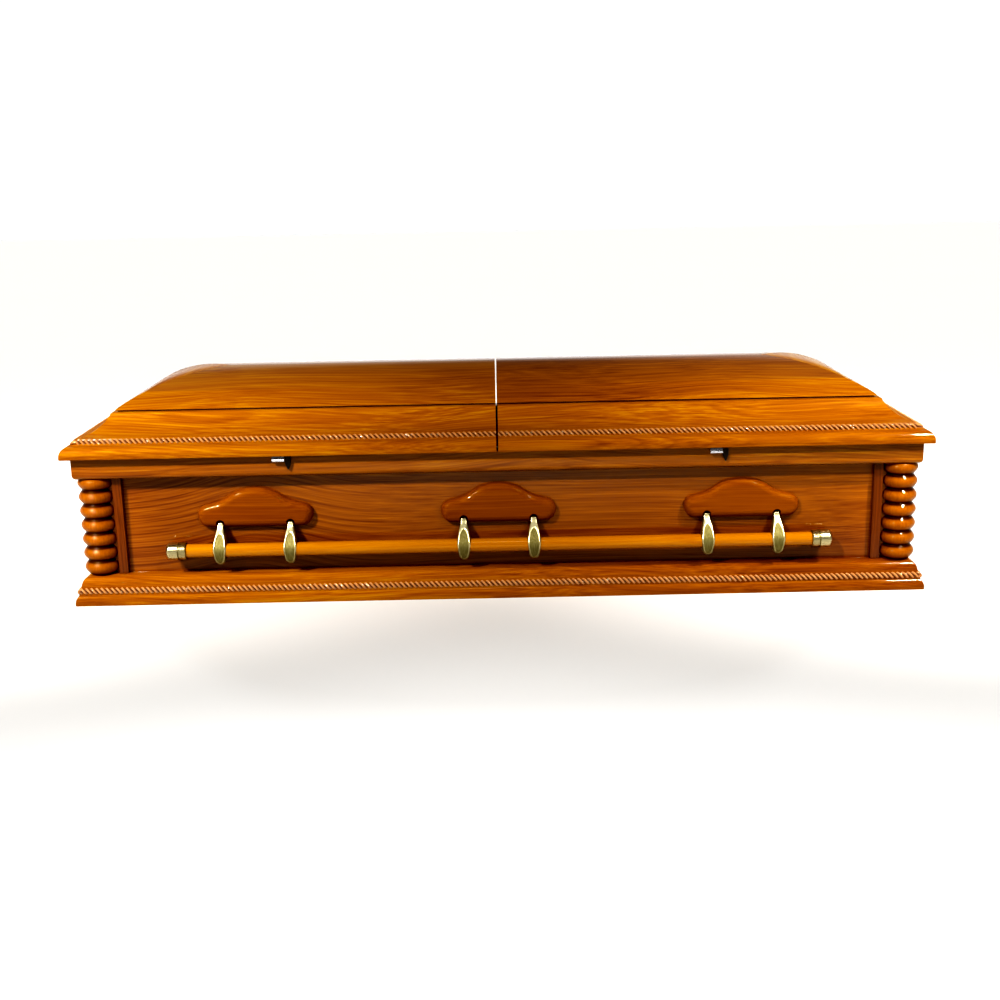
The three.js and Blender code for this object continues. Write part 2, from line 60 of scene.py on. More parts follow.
# %% Sizes read from the frame
HALF_LENGTH, HALF_WIDTH = (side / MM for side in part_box("lid_rim_right")[1].xy)
SLOT_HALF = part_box("lid_rim_right")[0].x / MM
LID_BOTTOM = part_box("lid_rim_right")[0].z / MM
RIDGE_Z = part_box("lid_crown_right")[1].z / MM
BASE_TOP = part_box("base_moulding")[1].z / MM
RAIL_BOTTOM, RAIL_TOP = (corner.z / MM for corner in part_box("top_rail"))
RAIL_INSET = HALF_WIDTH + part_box("top_rail")[0].y / MM
PANEL_INSET = HALF_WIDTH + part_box("front_panel")[0].y / MM
GAP = 0.3
print(f"lid {2 * HALF_LENGTH:.0f} by {2 * HALF_WIDTH:.0f} mm, ridge at {RIDGE_Z:.0f} mm")

# %% [markdown]
# Shapes are worked out with numpy as grids of points. A grid needs only two things more to be a
# mesh: the quads between neighbouring points, and a weld where its edges meet. Turning every face
# outwards after the weld makes it safe to mirror a shape, and marking the sharp edges lets one mesh
# hold both soft rounds and crisp arrises.

# %% From grids of points to a mesh
WELD = 0.002 * MM
CREASE = 32.0


def grid_quads(rows, columns, wrap_rows=False, wrap_columns=False):
    """Quads of a grid numbered row by row. Each joins two neighbours in a row to the same two in
    the next row, and a wrapped direction also joins its last line to its first."""
    row = np.arange(rows if wrap_rows else rows - 1)[:, None]
    column = np.arange(columns if wrap_columns else columns - 1)[None, :]
    row_after, column_after = (row + 1) % rows, (column + 1) % columns
    corners = (
        row * columns + column,
        row * columns + column_after,
        row_after * columns + column_after,
        row_after * columns + column,
    )
    return np.stack(np.broadcast_arrays(*corners), -1).reshape(-1, 4).tolist()


def tube_faces(rows, columns):
    """Faces of a closed tube: the quads all round it, then its first and its last row as flat
    ends."""
    ends = [list(range(columns)), list(range((rows - 1) * columns, rows * columns))]
    return grid_quads(rows, columns, wrap_columns=True) + ends


def smoothed(mesh, crease):
    """The mesh with soft faces, and a sharp edge where they turn by more than the crease in
    degrees."""
    mesh.polygons.foreach_set("use_smooth", np.ones(len(mesh.polygons), bool))
    mesh.set_sharp_from_angle(angle=math.radians(crease))
    return mesh


def shell(name, points, faces, materials, face_material=None, crease=CREASE):
    """Mesh of one closed shell from points in millimetres and faces as lists of point numbers."""
    mesh = bpy.data.meshes.new(name)
    mesh.from_pydata((points.reshape(-1, 3) * MM).tolist(), [], faces)
    for material in materials:
        mesh.materials.append(material)
    if face_material is not None:
        mesh.polygons.foreach_set("material_index", face_material)
    tidy = bmesh.new()
    tidy.from_mesh(mesh)
    bmesh.ops.remove_doubles(tidy, verts=tidy.verts, dist=WELD)
    bmesh.ops.recalc_face_normals(tidy, faces=tidy.faces)
    tidy.to_mesh(mesh)
    tidy.free()
    return smoothed(mesh, crease)


def coordinates(mesh):
    """The points of a mesh in millimetres, one row each."""
    flat = np.empty(3 * len(mesh.vertices))
    mesh.vertices.foreach_get("co", flat)
    return flat.reshape(-1, 3) / MM


def stain_and_shade(mesh, depth):
    """Writes the attribute that darkens each point towards the colour of the hollows, 0 to 1:
    patina and other darkening on the brass, painted shade on the wood.
    """
    layer = mesh.attributes.new("recess", "FLOAT", "POINT")
    layer.data.foreach_set("value", np.clip(depth, 0, 1).astype(np.float32))


def new_object(name, data):
    """An object at the origin with this mesh, lamp or camera, linked to the scene."""
    made = bpy.data.objects.new(name, data)
    bpy.context.scene.collection.objects.link(made)
    return made


def show(mesh, body, slot, *nodes):
    """An object with this mesh, which rides on a body and stands for CAD nodes."""
    piece = new_object(mesh.name, mesh)
    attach(piece, body)
    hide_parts(*nodes)
    print(f"{mesh.name}: {len(mesh.polygons)} faces on {body}")
    return piece


# %% [markdown]
# Smooth profiles are drawn with few points. A Catmull-Rom curve passes through every point it is
# given, which suits an outline measured on the real thing, and a Bezier curve is pulled towards its
# middle points, which suits an ovolo or a cove.

# %% Curves for the profiles
def through(points, steps):
    """Catmull-Rom curve through the points: on each span a cubic whose slope at either end is half
    the chord between the neighbours, with the first and last point doubled."""
    points = np.asarray(points, float)
    padded = np.vstack([points[:1], points, points[-1:]])
    before, start, end, after = padded[:-3], padded[1:-2], padded[2:-1], padded[3:]
    t = np.linspace(0, 1, steps, endpoint=False)[:, None, None]
    spans = 0.5 * (
        2 * start + (end - before) * t + (2 * before - 5 * start + 4 * end - after) * t**2
        + (3 * start - before - 3 * end + after) * t**3
    )
    return np.vstack([spans.transpose(1, 0, 2).reshape(-1, 2), points[-1:]])


def bezier(points, steps):
    """Bezier curve: each point counts by its Bernstein polynomial, and only the ends lie on it."""
    points = np.asarray(points, float)
    order = len(points) - 1
    t = np.linspace(0, 1, steps + 1)[:, None]
    weights = [math.comb(order, k) * t**k * (1 - t) ** (order - k) for k in range(order + 1)]
    return np.hstack(weights) @ points


def arc(centre, radius_x, radius_y, start, end, steps):
    """Points of an ellipse about a centre, between two angles in degrees."""
    angle = np.radians(np.linspace(start, end, steps + 1))
    return np.column_stack([radius_x * np.cos(angle), radius_y * np.sin(angle)]) + centre


# %% [markdown]
# The finish. Real casket wood is stained, then sprayed with many coats of clear varnish, so three
# things lie on top of each other: the pattern of the wood, a darker colour in its hollows, and a
# glassy coat that reflects the lamps sharply. The darker colour in the hollows is painted shade, in
# the valleys of the columns, in the cuts of the rope and on the foot of the base, and the wood is
# also painted darker or lighter along the casket, as painted shade and painted light where the
# lamps fall off. The pattern is solid: growth rings are cylinders round the heart of the tree,
# slowly bent, and a board shows them as long lines where it runs beside the heart and as pointed
# arches where the rings come to the surface. Over them lie fine fibres and broad streaks that
# follow the grain. Because the pattern fills space, it needs no unwrapping, and it only has to be
# turned so that its grain runs along each piece. The coat is the shader's own clear layer.

# %% Helpers for node trees
def feed(tree, node, inputs):
    """Links the inputs of a node to sockets, or sets them to values."""
    for socket, value in inputs.items():
        if isinstance(value, bpy.types.NodeSocket):
            tree.links.new(value, node.inputs[socket])
        else:
            node.inputs[socket].default_value = value


def add(tree, kind, inputs, **settings):
    """A new node with its settings and its inputs."""
    made = tree.nodes.new(kind)
    for key, value in settings.items():
        setattr(made, key, value)
    feed(tree, made, inputs)
    return made


def reckon(tree, operation, *values, **settings):
    """One step of arithmetic on numbers."""
    inputs = dict(enumerate(values))
    return add(tree, "ShaderNodeMath", inputs, operation=operation, **settings).outputs[0]


def vector(tree, operation, *values):
    """One step of arithmetic on vectors."""
    inputs = dict(enumerate(values))
    return add(tree, "ShaderNodeVectorMath", inputs, operation=operation).outputs[0]


def weigh(tree, value, weight, plus):
    """value times weight, plus a number or another value."""
    return reckon(tree, "MULTIPLY_ADD", value, weight, plus)


def object_place(tree):
    """Where a point lies, in metres on the object's own axes."""
    return add(tree, "ShaderNodeTexCoord", {}).outputs["Object"]


def axis_of(tree, place, axis):
    """One of the three numbers of a place."""
    return add(tree, "ShaderNodeSeparateXYZ", {0: place}).outputs[axis]


def recess(tree):
    """How far a point is darkened towards the colour of the hollows, as the mesh's own attribute
    says: patina on the brass, painted shade on the wood.
    """
    return add(tree, "ShaderNodeAttribute", {}, attribute_name="recess").outputs["Fac"]


def ramp(tree, factor, stops):
    """Colour ramp with stops given as position and colour, or position and grey."""
    made = add(tree, "ShaderNodeValToRGB", {"Fac": factor})
    elements = made.color_ramp.elements
    while len(elements) < len(stops):
        elements.new(0.5)
    for element, (position, colour) in zip(elements, stops):
        element.position = position
        element.color = (*colour, 1) if isinstance(colour, tuple) else (colour,) * 3 + (1,)
    return made.outputs["Color"]


def relief(tree, height, strength, distance):
    """Normal of a surface that a pattern raises by a distance in metres."""
    inputs = {"Height": height, "Strength": strength, "Distance": distance}
    return add(tree, "ShaderNodeBump", inputs).outputs["Normal"]


def new_material(name):
    """An empty node material and its shader, already joined to the output."""
    material = bpy.data.materials.new(name)
    material.use_nodes = True
    tree = material.node_tree
    tree.nodes.clear()
    shader = add(tree, "ShaderNodeBsdfPrincipled", {})
    add(tree, "ShaderNodeOutputMaterial", {"Surface": shader.outputs["BSDF"]})
    return material, tree, shader

# %% Varnished wood
PALE, HONEY = (0.36, 0.190, 0.008), (0.235, 0.088, 0.006)
AMBER, UMBER = (0.132, 0.039, 0.0040), (0.044, 0.009, 0.0020)
COLOUR_STOPS = (0.0, 0.33, 0.66, 1.0)
# The colour of the hollows of the wood: painted shade
PAINTED_SHADE_COLOUR = (0.020, 0.003, 0.001)
GRAIN_TURN = {"x": (0, 0, 0), "y": (0, 0, -math.pi / 2), "z": (0, math.pi / 2, 0)}
MIDDLE_LEVEL = 0.36
PATTERN_WEIGHTS = (0.5, 0.28, 0.85, 0.27)
WAVE_TURN = 20.0
ARCH_SHIFT = 0.05
STRETCH = {
    "drift": (1.2, 2.4), "strength": (1.5, 5.0), "wave": (0.10, 1.0), "figure": (0.5, 3.5),
    "streak": (1.0, 36.0), "thread": (1.6, 230.0), "fibre": (9.0, 700.0),
}


def stretched(tree, place, pattern):
    """Coordinates in which a pattern comes back so many times in a metre along and across the
    grain."""
    along, across = STRETCH[pattern]
    return vector(tree, "MULTIPLY", place, (along, across, across))


def noise(tree, place, detail=3.0, roughness=0.55):
    """Outputs of a noise that has one cloud to each unit of the place."""
    inputs = {"Vector": place, "Scale": 1.0, "Detail": detail, "Roughness": roughness}
    return add(tree, "ShaderNodeTexNoise", inputs).outputs


def bell(tree, place, centre, width):
    """1 where X is at the centre, falling off on both sides as the exponent of minus the squared
    distance over the width."""
    away = weigh(tree, axis_of(tree, place, "X"), 1 / width, -centre / width)
    square = reckon(tree, "POWER", away, 2.0)
    return reckon(tree, "EXPONENT", weigh(tree, square, -1.0, 0.0))


def wandering(tree, turned, bend):
    """Coordinates moved across the grain by a slow noise, by no more than the bend."""
    drift = noise(tree, stretched(tree, turned, "drift"), detail=1.0)["Color"]
    centred = vector(tree, "SUBTRACT", drift, (0.5, 0.5, 0.5))
    return vector(tree, "ADD", turned, vector(tree, "MULTIPLY", centred, (0.0, 2 * bend, 2 * bend)))


def late_wood(tree, bent, ring):
    """Growth rings: from 0 in the early wood to 1 where a ring ends. The phase of the Wave node
    turns by 20 radians in a metre, so its scale is a full turn over that and over the spacing of
    the rings."""
    inputs = {"Vector": stretched(tree, bent, "wave"), "Scale": math.tau / WAVE_TURN / ring,
              "Distortion": 1.6, "Detail": 2.0, "Detail Scale": 0.8, "Detail Roughness": 0.6}
    wave = add(tree, "ShaderNodeTexWave", inputs,
               wave_type="RINGS", rings_direction="X", wave_profile="SAW").outputs["Fac"]
    return ramp(tree, wave, [(0.0, 0.45), (0.12, 0.0), (0.60, 0.10), (0.93, 1.0), (1.0, 0.8)])


def varnished_wood(name, grain, heart, ring=0.009, bend=0.06, lines=0.25, tone=0.0, contrast=1.0,
                   gloss=1.0, swell=None, painted_shading=(), colours=(PALE, HONEY, AMBER, UMBER),
                   hollows=PAINTED_SHADE_COLOUR):
    """Growth rings, streaks and fibres under clear varnish. heart is where the centre of the rings
    passes, ring their spacing and bend how far the rings wander, all in metres. lines is the
    contrast of the rings, and contrast that of the streaks and fibres. tone makes the whole piece
    darker or, below 0, lighter. gloss is the weight of the varnish. swell lifts the grain into an
    arch: its place along X, its width and its height. dusk is a row of places along X, each with a
    width and an amount by which the wood is painted darker there, as painted shade, or, below 0,
    lighter, as painted light. hollows is the colour that the recess attribute mixes in, which is
    painted shade."""
    material, tree, shader = new_material(name)
    place = object_place(tree)
    moved = vector(tree, "SUBTRACT", place, heart)
    turning = {"Vector": moved, "Rotation": GRAIN_TURN[grain]}
    turned = add(tree, "ShaderNodeMapping", turning).outputs[0]
    bent = wandering(tree, turned, bend)
    clouds = noise(tree, stretched(tree, turned, "strength"))["Fac"]
    strength = ramp(tree, clouds, [(0.42, 0.1), (0.62, 1.0)])
    if swell:
        centre, width, rise = swell
        lift = weigh(tree, bell(tree, place, centre, width), rise, 0.0)
        lifting = add(tree, "ShaderNodeCombineXYZ", {"Z": lift}).outputs[0]
        bent = vector(tree, "SUBTRACT", bent, lifting)
        near = bell(tree, place, centre - ARCH_SHIFT, 2 * width)
        strength = weigh(tree, near, 1.0, weigh(tree, strength, 0.5, 0.0))
    marked = reckon(tree, "MULTIPLY", late_wood(tree, bent, ring), strength)

    figure = noise(tree, stretched(tree, bent, "figure"), detail=1.0)["Fac"]
    streak = noise(tree, stretched(tree, bent, "streak"), roughness=0.6)["Fac"]
    thread = noise(tree, stretched(tree, bent, "thread"), roughness=0.6)["Fac"]
    fibre = noise(tree, stretched(tree, turned, "fibre"), detail=1.0)["Fac"]
    # Each pattern is about a half on average, so half of their weight is taken off to keep the tone
    evened = contrast * sum(PATTERN_WEIGHTS) / 2
    level = weigh(tree, marked, lines, MIDDLE_LEVEL + tone - evened)
    for pattern, weight in zip((figure, streak, thread, fibre), PATTERN_WEIGHTS):
        level = weigh(tree, pattern, contrast * weight, level)
    # Painted shade, or painted light where the amount is below 0, for how the lamps fall off along X
    for centre, width, amount in painted_shading:
        level = weigh(tree, bell(tree, place, centre, width), amount, level)
    wood = ramp(tree, level, list(zip(COLOUR_STOPS, colours)))

    # The colour of the hollows, mixed in by the recess attribute, is painted shade
    mixing = {"Factor": recess(tree), 6: wood, 7: (*hollows, 1)}
    stained = add(tree, "ShaderNodeMix", mixing, data_type="RGBA", blend_type="MIX").outputs[2]
    feed(tree, shader, {
        "Base Color": stained, "Normal": relief(tree, thread, 0.12, 0.0004), "Roughness": 0.45,
        "Specular IOR Level": 0.15, "Specular Tint": (1.0, 0.55, 0.12, 1),
        "Coat Weight": gloss, "Coat Roughness": 0.05, "Coat IOR": 1.42,
    })
    return material

# %% [markdown]
# Each piece is cut from its own board, so each has its own heart, tone and strength of rings. The
# ends of the box have their grain along Y, and upright pieces have it along Z. The rope and the bar
# are paler and take four colours of their own. The mouldings, the columns and the ears have less
# gloss, because their small rounds would otherwise show every lamp as a hard white line.

# %% The woods of the casket
ROPE_COLOURS = ((0.43, 0.25, 0.12), (0.33, 0.16, 0.065), (0.22, 0.082, 0.026), (0.07, 0.017, 0.006))
BAR_COLOURS = (
    (0.42, 0.215, 0.008), (0.33, 0.146, 0.006), (0.24, 0.082, 0.004), (0.13, 0.032, 0.002))

# The bells along X given to these woods paint them darker, as painted shade, or lighter where the
# amount is below 0, as painted light, for how the lamps fall off along the casket.
panel_wood = varnished_wood(
    "panel_wood", "x", (0.55, -0.16, 0.02), ring=0.011, bend=0.03, lines=0.17, tone=0.12,
    swell=(-0.60, 0.17, 0.05), painted_shading=((0.15, 0.35, 0.04), (-0.9, 0.3, 0.09)))
panel_end_wood = varnished_wood("panel_end_wood", "y", (0.9, 0.3, 0.16), ring=0.011, tone=0.06)
rim_wood = varnished_wood(
    "rim_wood", "x", (0.0, 0.3, 0.1), lines=0.14, tone=-0.04, gloss=0.4, painted_shading=((0.0, 0.5, -0.05),))
rim_end_wood = varnished_wood(
    "rim_end_wood", "y", (0.6, 0.1, 0.1), lines=0.14, tone=-0.07, gloss=0.5)
base_wood = varnished_wood(
    "base_wood", "x", (0.3, 0.3, 0.1), lines=0.15, tone=0.20, gloss=0.4,
    painted_shading=((-0.30, 0.65, -0.20),))
base_end_wood = varnished_wood(
    "base_end_wood", "y", (0.6, 0.1, 0.1), lines=0.15, tone=0.03, gloss=0.5)
rail_wood = varnished_wood(
    "rail_wood", "x", (0.3, 0.2, 0.5), lines=0.15, tone=0.04, painted_shading=((0.1, 0.6, 0.06),))
rail_end_wood = varnished_wood("rail_end_wood", "y", (0.3, 0.2, 0.5), lines=0.20, tone=0.08)
crown_woods = {
    "left": varnished_wood(
        "crown_wood_left", "x", (0.9, 0.1, 0.40), ring=0.012, lines=0.16, tone=-0.07,
        painted_shading=((0.0, 0.45, 0.08),)),
    "right": varnished_wood(
        "crown_wood_right", "x", (0.2, 0.1, 0.43), ring=0.012, bend=0.07, lines=0.16, tone=-0.14,
        painted_shading=((0.05, 0.55, 0.27),)),
}
crown_end_wood = varnished_wood(
    "crown_end_wood", "y", (0.5, 0.2, 0.43), ring=0.012, lines=0.16, tone=-0.10, gloss=0.5)
column_wood = varnished_wood(
    "column_wood", "z", (0.99, 0.30, 0.0), ring=0.014, bend=0.04, lines=0.06, tone=0.08,
    contrast=0.45, gloss=0.4)
strip_wood = varnished_wood(
    "strip_wood", "z", (0.5, 0.25, 0.0), bend=0.05, lines=0.1, tone=0.42, contrast=0.6)
ear_wood = varnished_wood(
    "ear_wood", "x", (0.1, -0.15, 0.27), bend=0.03, lines=0.12, tone=0.13, contrast=0.6, gloss=0.15)
# The colour of the hollows of the rope is the painted shade in its cuts
rope_wood = varnished_wood(
    "rope_wood", "x", (0.0, 0.3, 0.1), lines=0.0, tone=-0.15, contrast=0.5, gloss=0.8,
    colours=ROPE_COLOURS, hollows=(0.040, 0.005, 0.003))
bar_wood = varnished_wood(
    "bar_wood", "x", (0.2, -0.29, 0.10), bend=0.03, lines=0.08, contrast=0.6, colours=BAR_COLOURS)
print(len(bpy.data.materials), "materials so far")

# %% [markdown]
# A moulding is a profile carried round the box. At a corner the two runs meet in a mitre, so the
# profile is simply stretched along the diagonal there. Each station of a run is a point on the nose
# line with the direction that an inset moves in: square to the side along it, and diagonal at a
# corner. The wood of the long sides has its grain along X and the wood of the ends along Y, so the
# mitre shows as it does on the real thing.

# %% Carrying a profile round the box
def all_round():
    """Stations of a closed run: the four corners, with the diagonal direction that points
    inwards."""
    signs = np.array([[-1, -1], [1, -1], [1, 1], [-1, 1]], float)
    return signs * (HALF_LENGTH, HALF_WIDTH), -signs


def half_round(side):
    """Stations of a run round one half of the lid: from the slot at the front, round both corners
    of the end, to the slot at the back."""
    spots = np.array([[SLOT_HALF, -HALF_WIDTH], [HALF_LENGTH, -HALF_WIDTH],
                      [HALF_LENGTH, HALF_WIDTH], [SLOT_HALF, HALF_WIDTH]])
    inwards = np.array([[0, 1], [-1, 1], [-1, -1], [0, -1]], float)
    return spots * (side, 1), inwards * (side, 1)


def carried(section, spots, inwards):
    """Grid of a profile carried over stations: a point's place is the station's spot, plus the
    profile's inset times the station's inward direction, at the profile's height."""
    flat = spots[:, None] + section[None, :, :1] * inwards[:, None]
    height = np.broadcast_to(section[None, :, 1:], flat.shape[:2] + (1,))
    return np.concatenate([flat, height], -1)


def ends_of(side_count, per_side):
    """Which faces lie on an end of the box: sides are counted from the front, so every second
    one."""
    return np.repeat(np.arange(side_count) % 2, per_side)


def moulding_round(name, section, materials, crease=CREASE):
    """A closed profile carried all round the box."""
    points = carried(section, *all_round())
    faces = grid_quads(*points.shape[:2], wrap_rows=True, wrap_columns=True)
    return shell(name, points, faces, materials, ends_of(4, len(section)), crease)


def moulding_half(name, section, side, materials):
    """A closed profile carried round one half of the lid, with a flat cut at both ends."""
    points = carried(section, *half_round(side))
    sides = np.append(ends_of(3, len(section)), [0, 0])
    return shell(name, points, tube_faces(*points.shape[:2]), materials, sides)


# %% [markdown]
# The plinth. It stands on a small flat edge, flares into a foot, carries the rope in a flat seat,
# and then runs up in one long rounded shoulder to the foot of the panels. The foot is painted a
# little darker, as painted shade.

# %% Base moulding
BASE_ROPE_SEAT = np.array([[13, 27.5], [18.5, 43.5]])
BASE_FOOT_PAINTED_SHADE = 0.08


def base_profile():
    """Foot, rope seat and shoulder, from the ground up the outside, then down the inner face."""
    foot = through([[5.6, 0], [5, 2], [5, 9], [7, 16], [10, 21.5], [13, 25]], 5)
    shoulder = bezier([[19, 46], [21.5, 62], [27, 69], [46, BASE_TOP]], 22)
    inner = PANEL_INSET - GAP
    return np.vstack([foot, BASE_ROPE_SEAT, shoulder, [[inner, BASE_TOP], [inner, 0]]])


base = moulding_round("base_moulding_shaped", base_profile(), [base_wood, base_end_wood])
# The foot below the rope seat is painted darker: painted shade
stain_and_shade(base, BASE_FOOT_PAINTED_SHADE * (coordinates(base)[:, 2] < BASE_ROPE_SEAT[0, 1]))
show(base, "box", "varnished_wood", "base_moulding")

# %% [markdown]
# The rope. It is carved as a half-round bead whose strands lean over to the left, and each strand
# is a small swelling of its own with a cut beside it, painted dark as painted shade. It could be
# two twisted tubes, but half of those would be buried in the seat. Instead the bead is one grid
# whose radius swells and sinks with the phase of the strand, so it stays a single closed surface
# with few faces.

# %% A carved rope on a seat
ROPE_BULGE = 6.0
ROPE_PITCH, ROPE_LEAN = 12.5, 1.05
ROPE_CUT, ROPE_CUT_POWER = 0.72, 0.8
PLAIN_HEIGHT, MITRE_ROOM = 0.8, 0.5
ROPE_ALONG, ROPE_ACROSS = 10, 9
ROPE_SHADE_IN_CUT, ROPE_SHADE_FALL, ROPE_SHADE_MOST = 1.42, 1.7, 0.97


def strand(distance, turn):
    """How far the strand stands up, 0 in the cut and 1 on its back. Its phase is the distance along
    the bead over the pitch, plus the lean times how far round the bead the point is. Over one phase
    the height is the sine of half a turn."""
    phase = (distance / ROPE_PITCH + ROPE_LEAN * turn) % 1
    return np.sin(np.pi * phase)


def rope_run(spots, inwards, seat, closed):
    """Stations along the rope: each side is cut into steps of the pitch, square to the side,
    between the diagonal stations of its corners. Returns spots, inward directions and distances,
    with a distance of nan at a corner, where the bead is plain."""
    inner = seat[:, 0].max() + MITRE_ROOM
    step = ROPE_PITCH / ROPE_ALONG
    made = []
    for k in range(len(spots) if closed else len(spots) - 1):
        after = (k + 1) % len(spots)
        start, end = spots[k], spots[after]
        length = np.abs(end - start).sum()
        forward = (end - start) / length
        square = np.array([-forward[1], forward[0]])
        square *= np.sign(square @ inwards[k])
        low = inner if np.all(inwards[k] != 0) else 0
        high = length - (inner if np.all(inwards[after] != 0) else 0)
        distance = np.linspace(low, high, int((high - low) / step))[:, None]
        if low:
            made.append(np.array([[*start, *inwards[k], np.nan]]))
        squares = np.tile(square, (len(distance), 1))
        made.append(np.hstack([start + distance * forward, squares, distance]))
    return np.vstack(made)


def rope(name, seat, stations, closed):
    """Half-round bead on a seat: a point turns from the lower to the upper edge of the seat, and
    its distance from the seat's middle line is scaled by the strand."""
    rows = rope_run(*stations, seat, closed)
    distance = rows[:, 4:5]
    turn = np.linspace(0, 1, ROPE_ACROSS)[None]
    height = np.where(np.isnan(distance), PLAIN_HEIGHT, strand(np.nan_to_num(distance), turn))
    swell = 1 - ROPE_CUT * (1 - height) ** ROPE_CUT_POWER
    across = seat[1] - seat[0]
    outward = np.array([-across[1], across[0]]) / np.hypot(*across)
    angle = np.pi * turn
    along = (0.5 - 0.5 * np.cos(angle) * swell)[..., None] * across
    up = (ROPE_BULGE * np.sin(angle) * swell + GAP)[..., None] * outward
    profile = seat[0] + along + up
    flat = rows[:, None, :2] + profile[..., :1] * rows[:, None, 2:4]
    points = np.concatenate([flat, profile[..., 1:]], -1)
    size = points.shape[:2]
    faces = grid_quads(*size, wrap_rows=True, wrap_columns=True) if closed else tube_faces(*size)
    mesh = shell(name, points, faces, [rope_wood], crease=50)
    # The cuts between the strands are painted dark: painted shade
    depth = np.clip(ROPE_SHADE_IN_CUT - ROPE_SHADE_FALL * height, 0, 1)
    stain_and_shade(mesh, ROPE_SHADE_MOST * depth.ravel())
    return mesh


base_rope = rope("base_rope_carved", BASE_ROPE_SEAT, all_round(), True)
show(base_rope, "box", "varnished_wood", "base_rope")
print("strands round the base:", round(4 * (HALF_LENGTH + HALF_WIDTH) / ROPE_PITCH))

# %% [markdown]
# The rail is a flat band round the top of the box. Its lower edge is rounded over with a cutter,
# its upper edge only has its arris taken off, because the lid closes on it.

# %% Top rail
RAIL_ROUNDING, RAIL_ARRIS = 12, 1


def rail_profile():
    """The rounded lower edge, the flat face, and the arris at the top."""
    inner = PANEL_INSET - GAP
    low = (RAIL_INSET + RAIL_ROUNDING, RAIL_BOTTOM + RAIL_ROUNDING)
    high = (RAIL_INSET + RAIL_ARRIS, RAIL_TOP - RAIL_ARRIS)
    edge = arc(low, RAIL_ROUNDING, RAIL_ROUNDING, 270, 180, 12)
    arris = arc(high, RAIL_ARRIS, RAIL_ARRIS, 180, 90, 3)
    return np.vstack([[[inner, RAIL_BOTTOM]], edge, arris, [[inner, RAIL_TOP]]])


rail = moulding_round("top_rail_shaped", rail_profile(), [rail_wood, rail_end_wood], crease=50)
show(rail, "box", "varnished_wood", "top_rail")

# %% [markdown]
# The panels and the bottom board are plain boards, and their solids already have that shape. They
# stay as they are and only get their finish.

# %% Panels and bottom board
def finish_node(node, material):
    """Gives a CAD node that stays visible its finish, in its own material slots."""
    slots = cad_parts[node].data.materials
    slots.clear()
    slots.append(material)


for node in ("front_panel", "back_panel", "bottom_board"):
    finish_node(node, panel_wood)
for node in ("left_end_panel", "right_end_panel"):
    finish_node(node, panel_end_wood)

# %% [markdown]
# The corner columns are turned: seven full rings on one axis, with wide round hollows between them.
# The corner of the box is let into them, so a column is three quarters round. Its grid has a loop
# of points at each height: an arc that starts and ends on the faces of the box, and one point in
# the corner between them.

# %% Turned corner columns
RING_PITCH = 35.5
RING_RADIUS, VALLEY_RADIUS, RING_POWER = 43.0, 32.8, 1.2
RING_STEPS, COLUMN_ARC, LEAST_STEP = 14, 60, 0.5
VALLEY_SHADE_FROM, VALLEY_SHADE_RISE, VALLEY_SHADE_MOST = 0.46, 3.2, 0.94


def ring_radius(height):
    """Radius of the turning at a height above its foot: valley radius plus the cosine of each
    ring's phase to the power 1.2, so that the rings are full and the valleys between them are wide
    round hollows."""
    phase = np.abs(2 * (height % RING_PITCH) / RING_PITCH - 1)
    fullness = np.clip(np.cos(phase * np.pi / 2), 0, 1) ** RING_POWER
    return VALLEY_RADIUS + (RING_RADIUS - VALLEY_RADIUS) * fullness


def column_heights(total):
    """Heights spaced by the cosine within each ring, close together where the turning dives
    inwards."""
    rings = int(np.ceil(total / RING_PITCH))
    within = 0.5 - 0.5 * np.cos(np.pi * np.arange(RING_STEPS) / RING_STEPS)
    height = (RING_PITCH * (np.arange(rings)[:, None] + within)).ravel()
    return np.append(height[height < total - LEAST_STEP], total)


def column(node):
    """Three-quarter column in the corner of the box that the node's box lies in."""
    low, high = (np.array(corner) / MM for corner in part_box(node))
    signs = np.sign(low[:2] + high[:2])
    height = column_heights(high[2] - low[2])
    radius = ring_radius(height)[:, None]
    corner = np.abs(np.where(signs > 0, high[:2], low[:2]) / signs)
    axis = np.array([HALF_LENGTH, HALF_WIDTH]) - (HALF_LENGTH - corner[0]) - RING_RADIUS
    inset = HALF_LENGTH - axis[0] - PANEL_INSET + GAP
    start, end = -np.arccos(inset / radius), np.pi - np.arcsin(inset / radius)
    angle = start + (end - start) * np.linspace(0, 1, COLUMN_ARC)
    arc_points = np.stack([radius * np.cos(angle), radius * np.sin(angle)], -1)
    notch = np.full((len(height), 1, 2), inset)
    plan = (np.concatenate([arc_points, notch], 1) + axis) * signs
    level = np.broadcast_to((low[2] + height)[:, None, None], plan.shape[:2] + (1,))
    points = np.concatenate([plan, level], -1)
    mesh = shell(node + "_turned", points, tube_faces(*points.shape[:2]), [column_wood], crease=70)
    place = coordinates(mesh)
    # The valleys between the rings are painted dark: painted shade under each ring
    valley = (RING_RADIUS - ring_radius(place[:, 2] - low[2])) / (RING_RADIUS - VALLEY_RADIUS)
    stain_and_shade(mesh, np.clip(VALLEY_SHADE_RISE * (valley - VALLEY_SHADE_FROM), 0, VALLEY_SHADE_MOST))
    show(mesh, "box", "varnished_wood", node)


CORNERS = [f"{depth}_{side}" for depth in ("front", "back") for side in ("left", "right")]
for corner_name in CORNERS:
    column("column_" + corner_name)

# %% [markdown]
# Beside each column stands a flat strip, one on the long side and one on the end. The edges of a
# planed strip are never knife sharp, so a Bevel modifier takes them off and lets them catch the
# light.

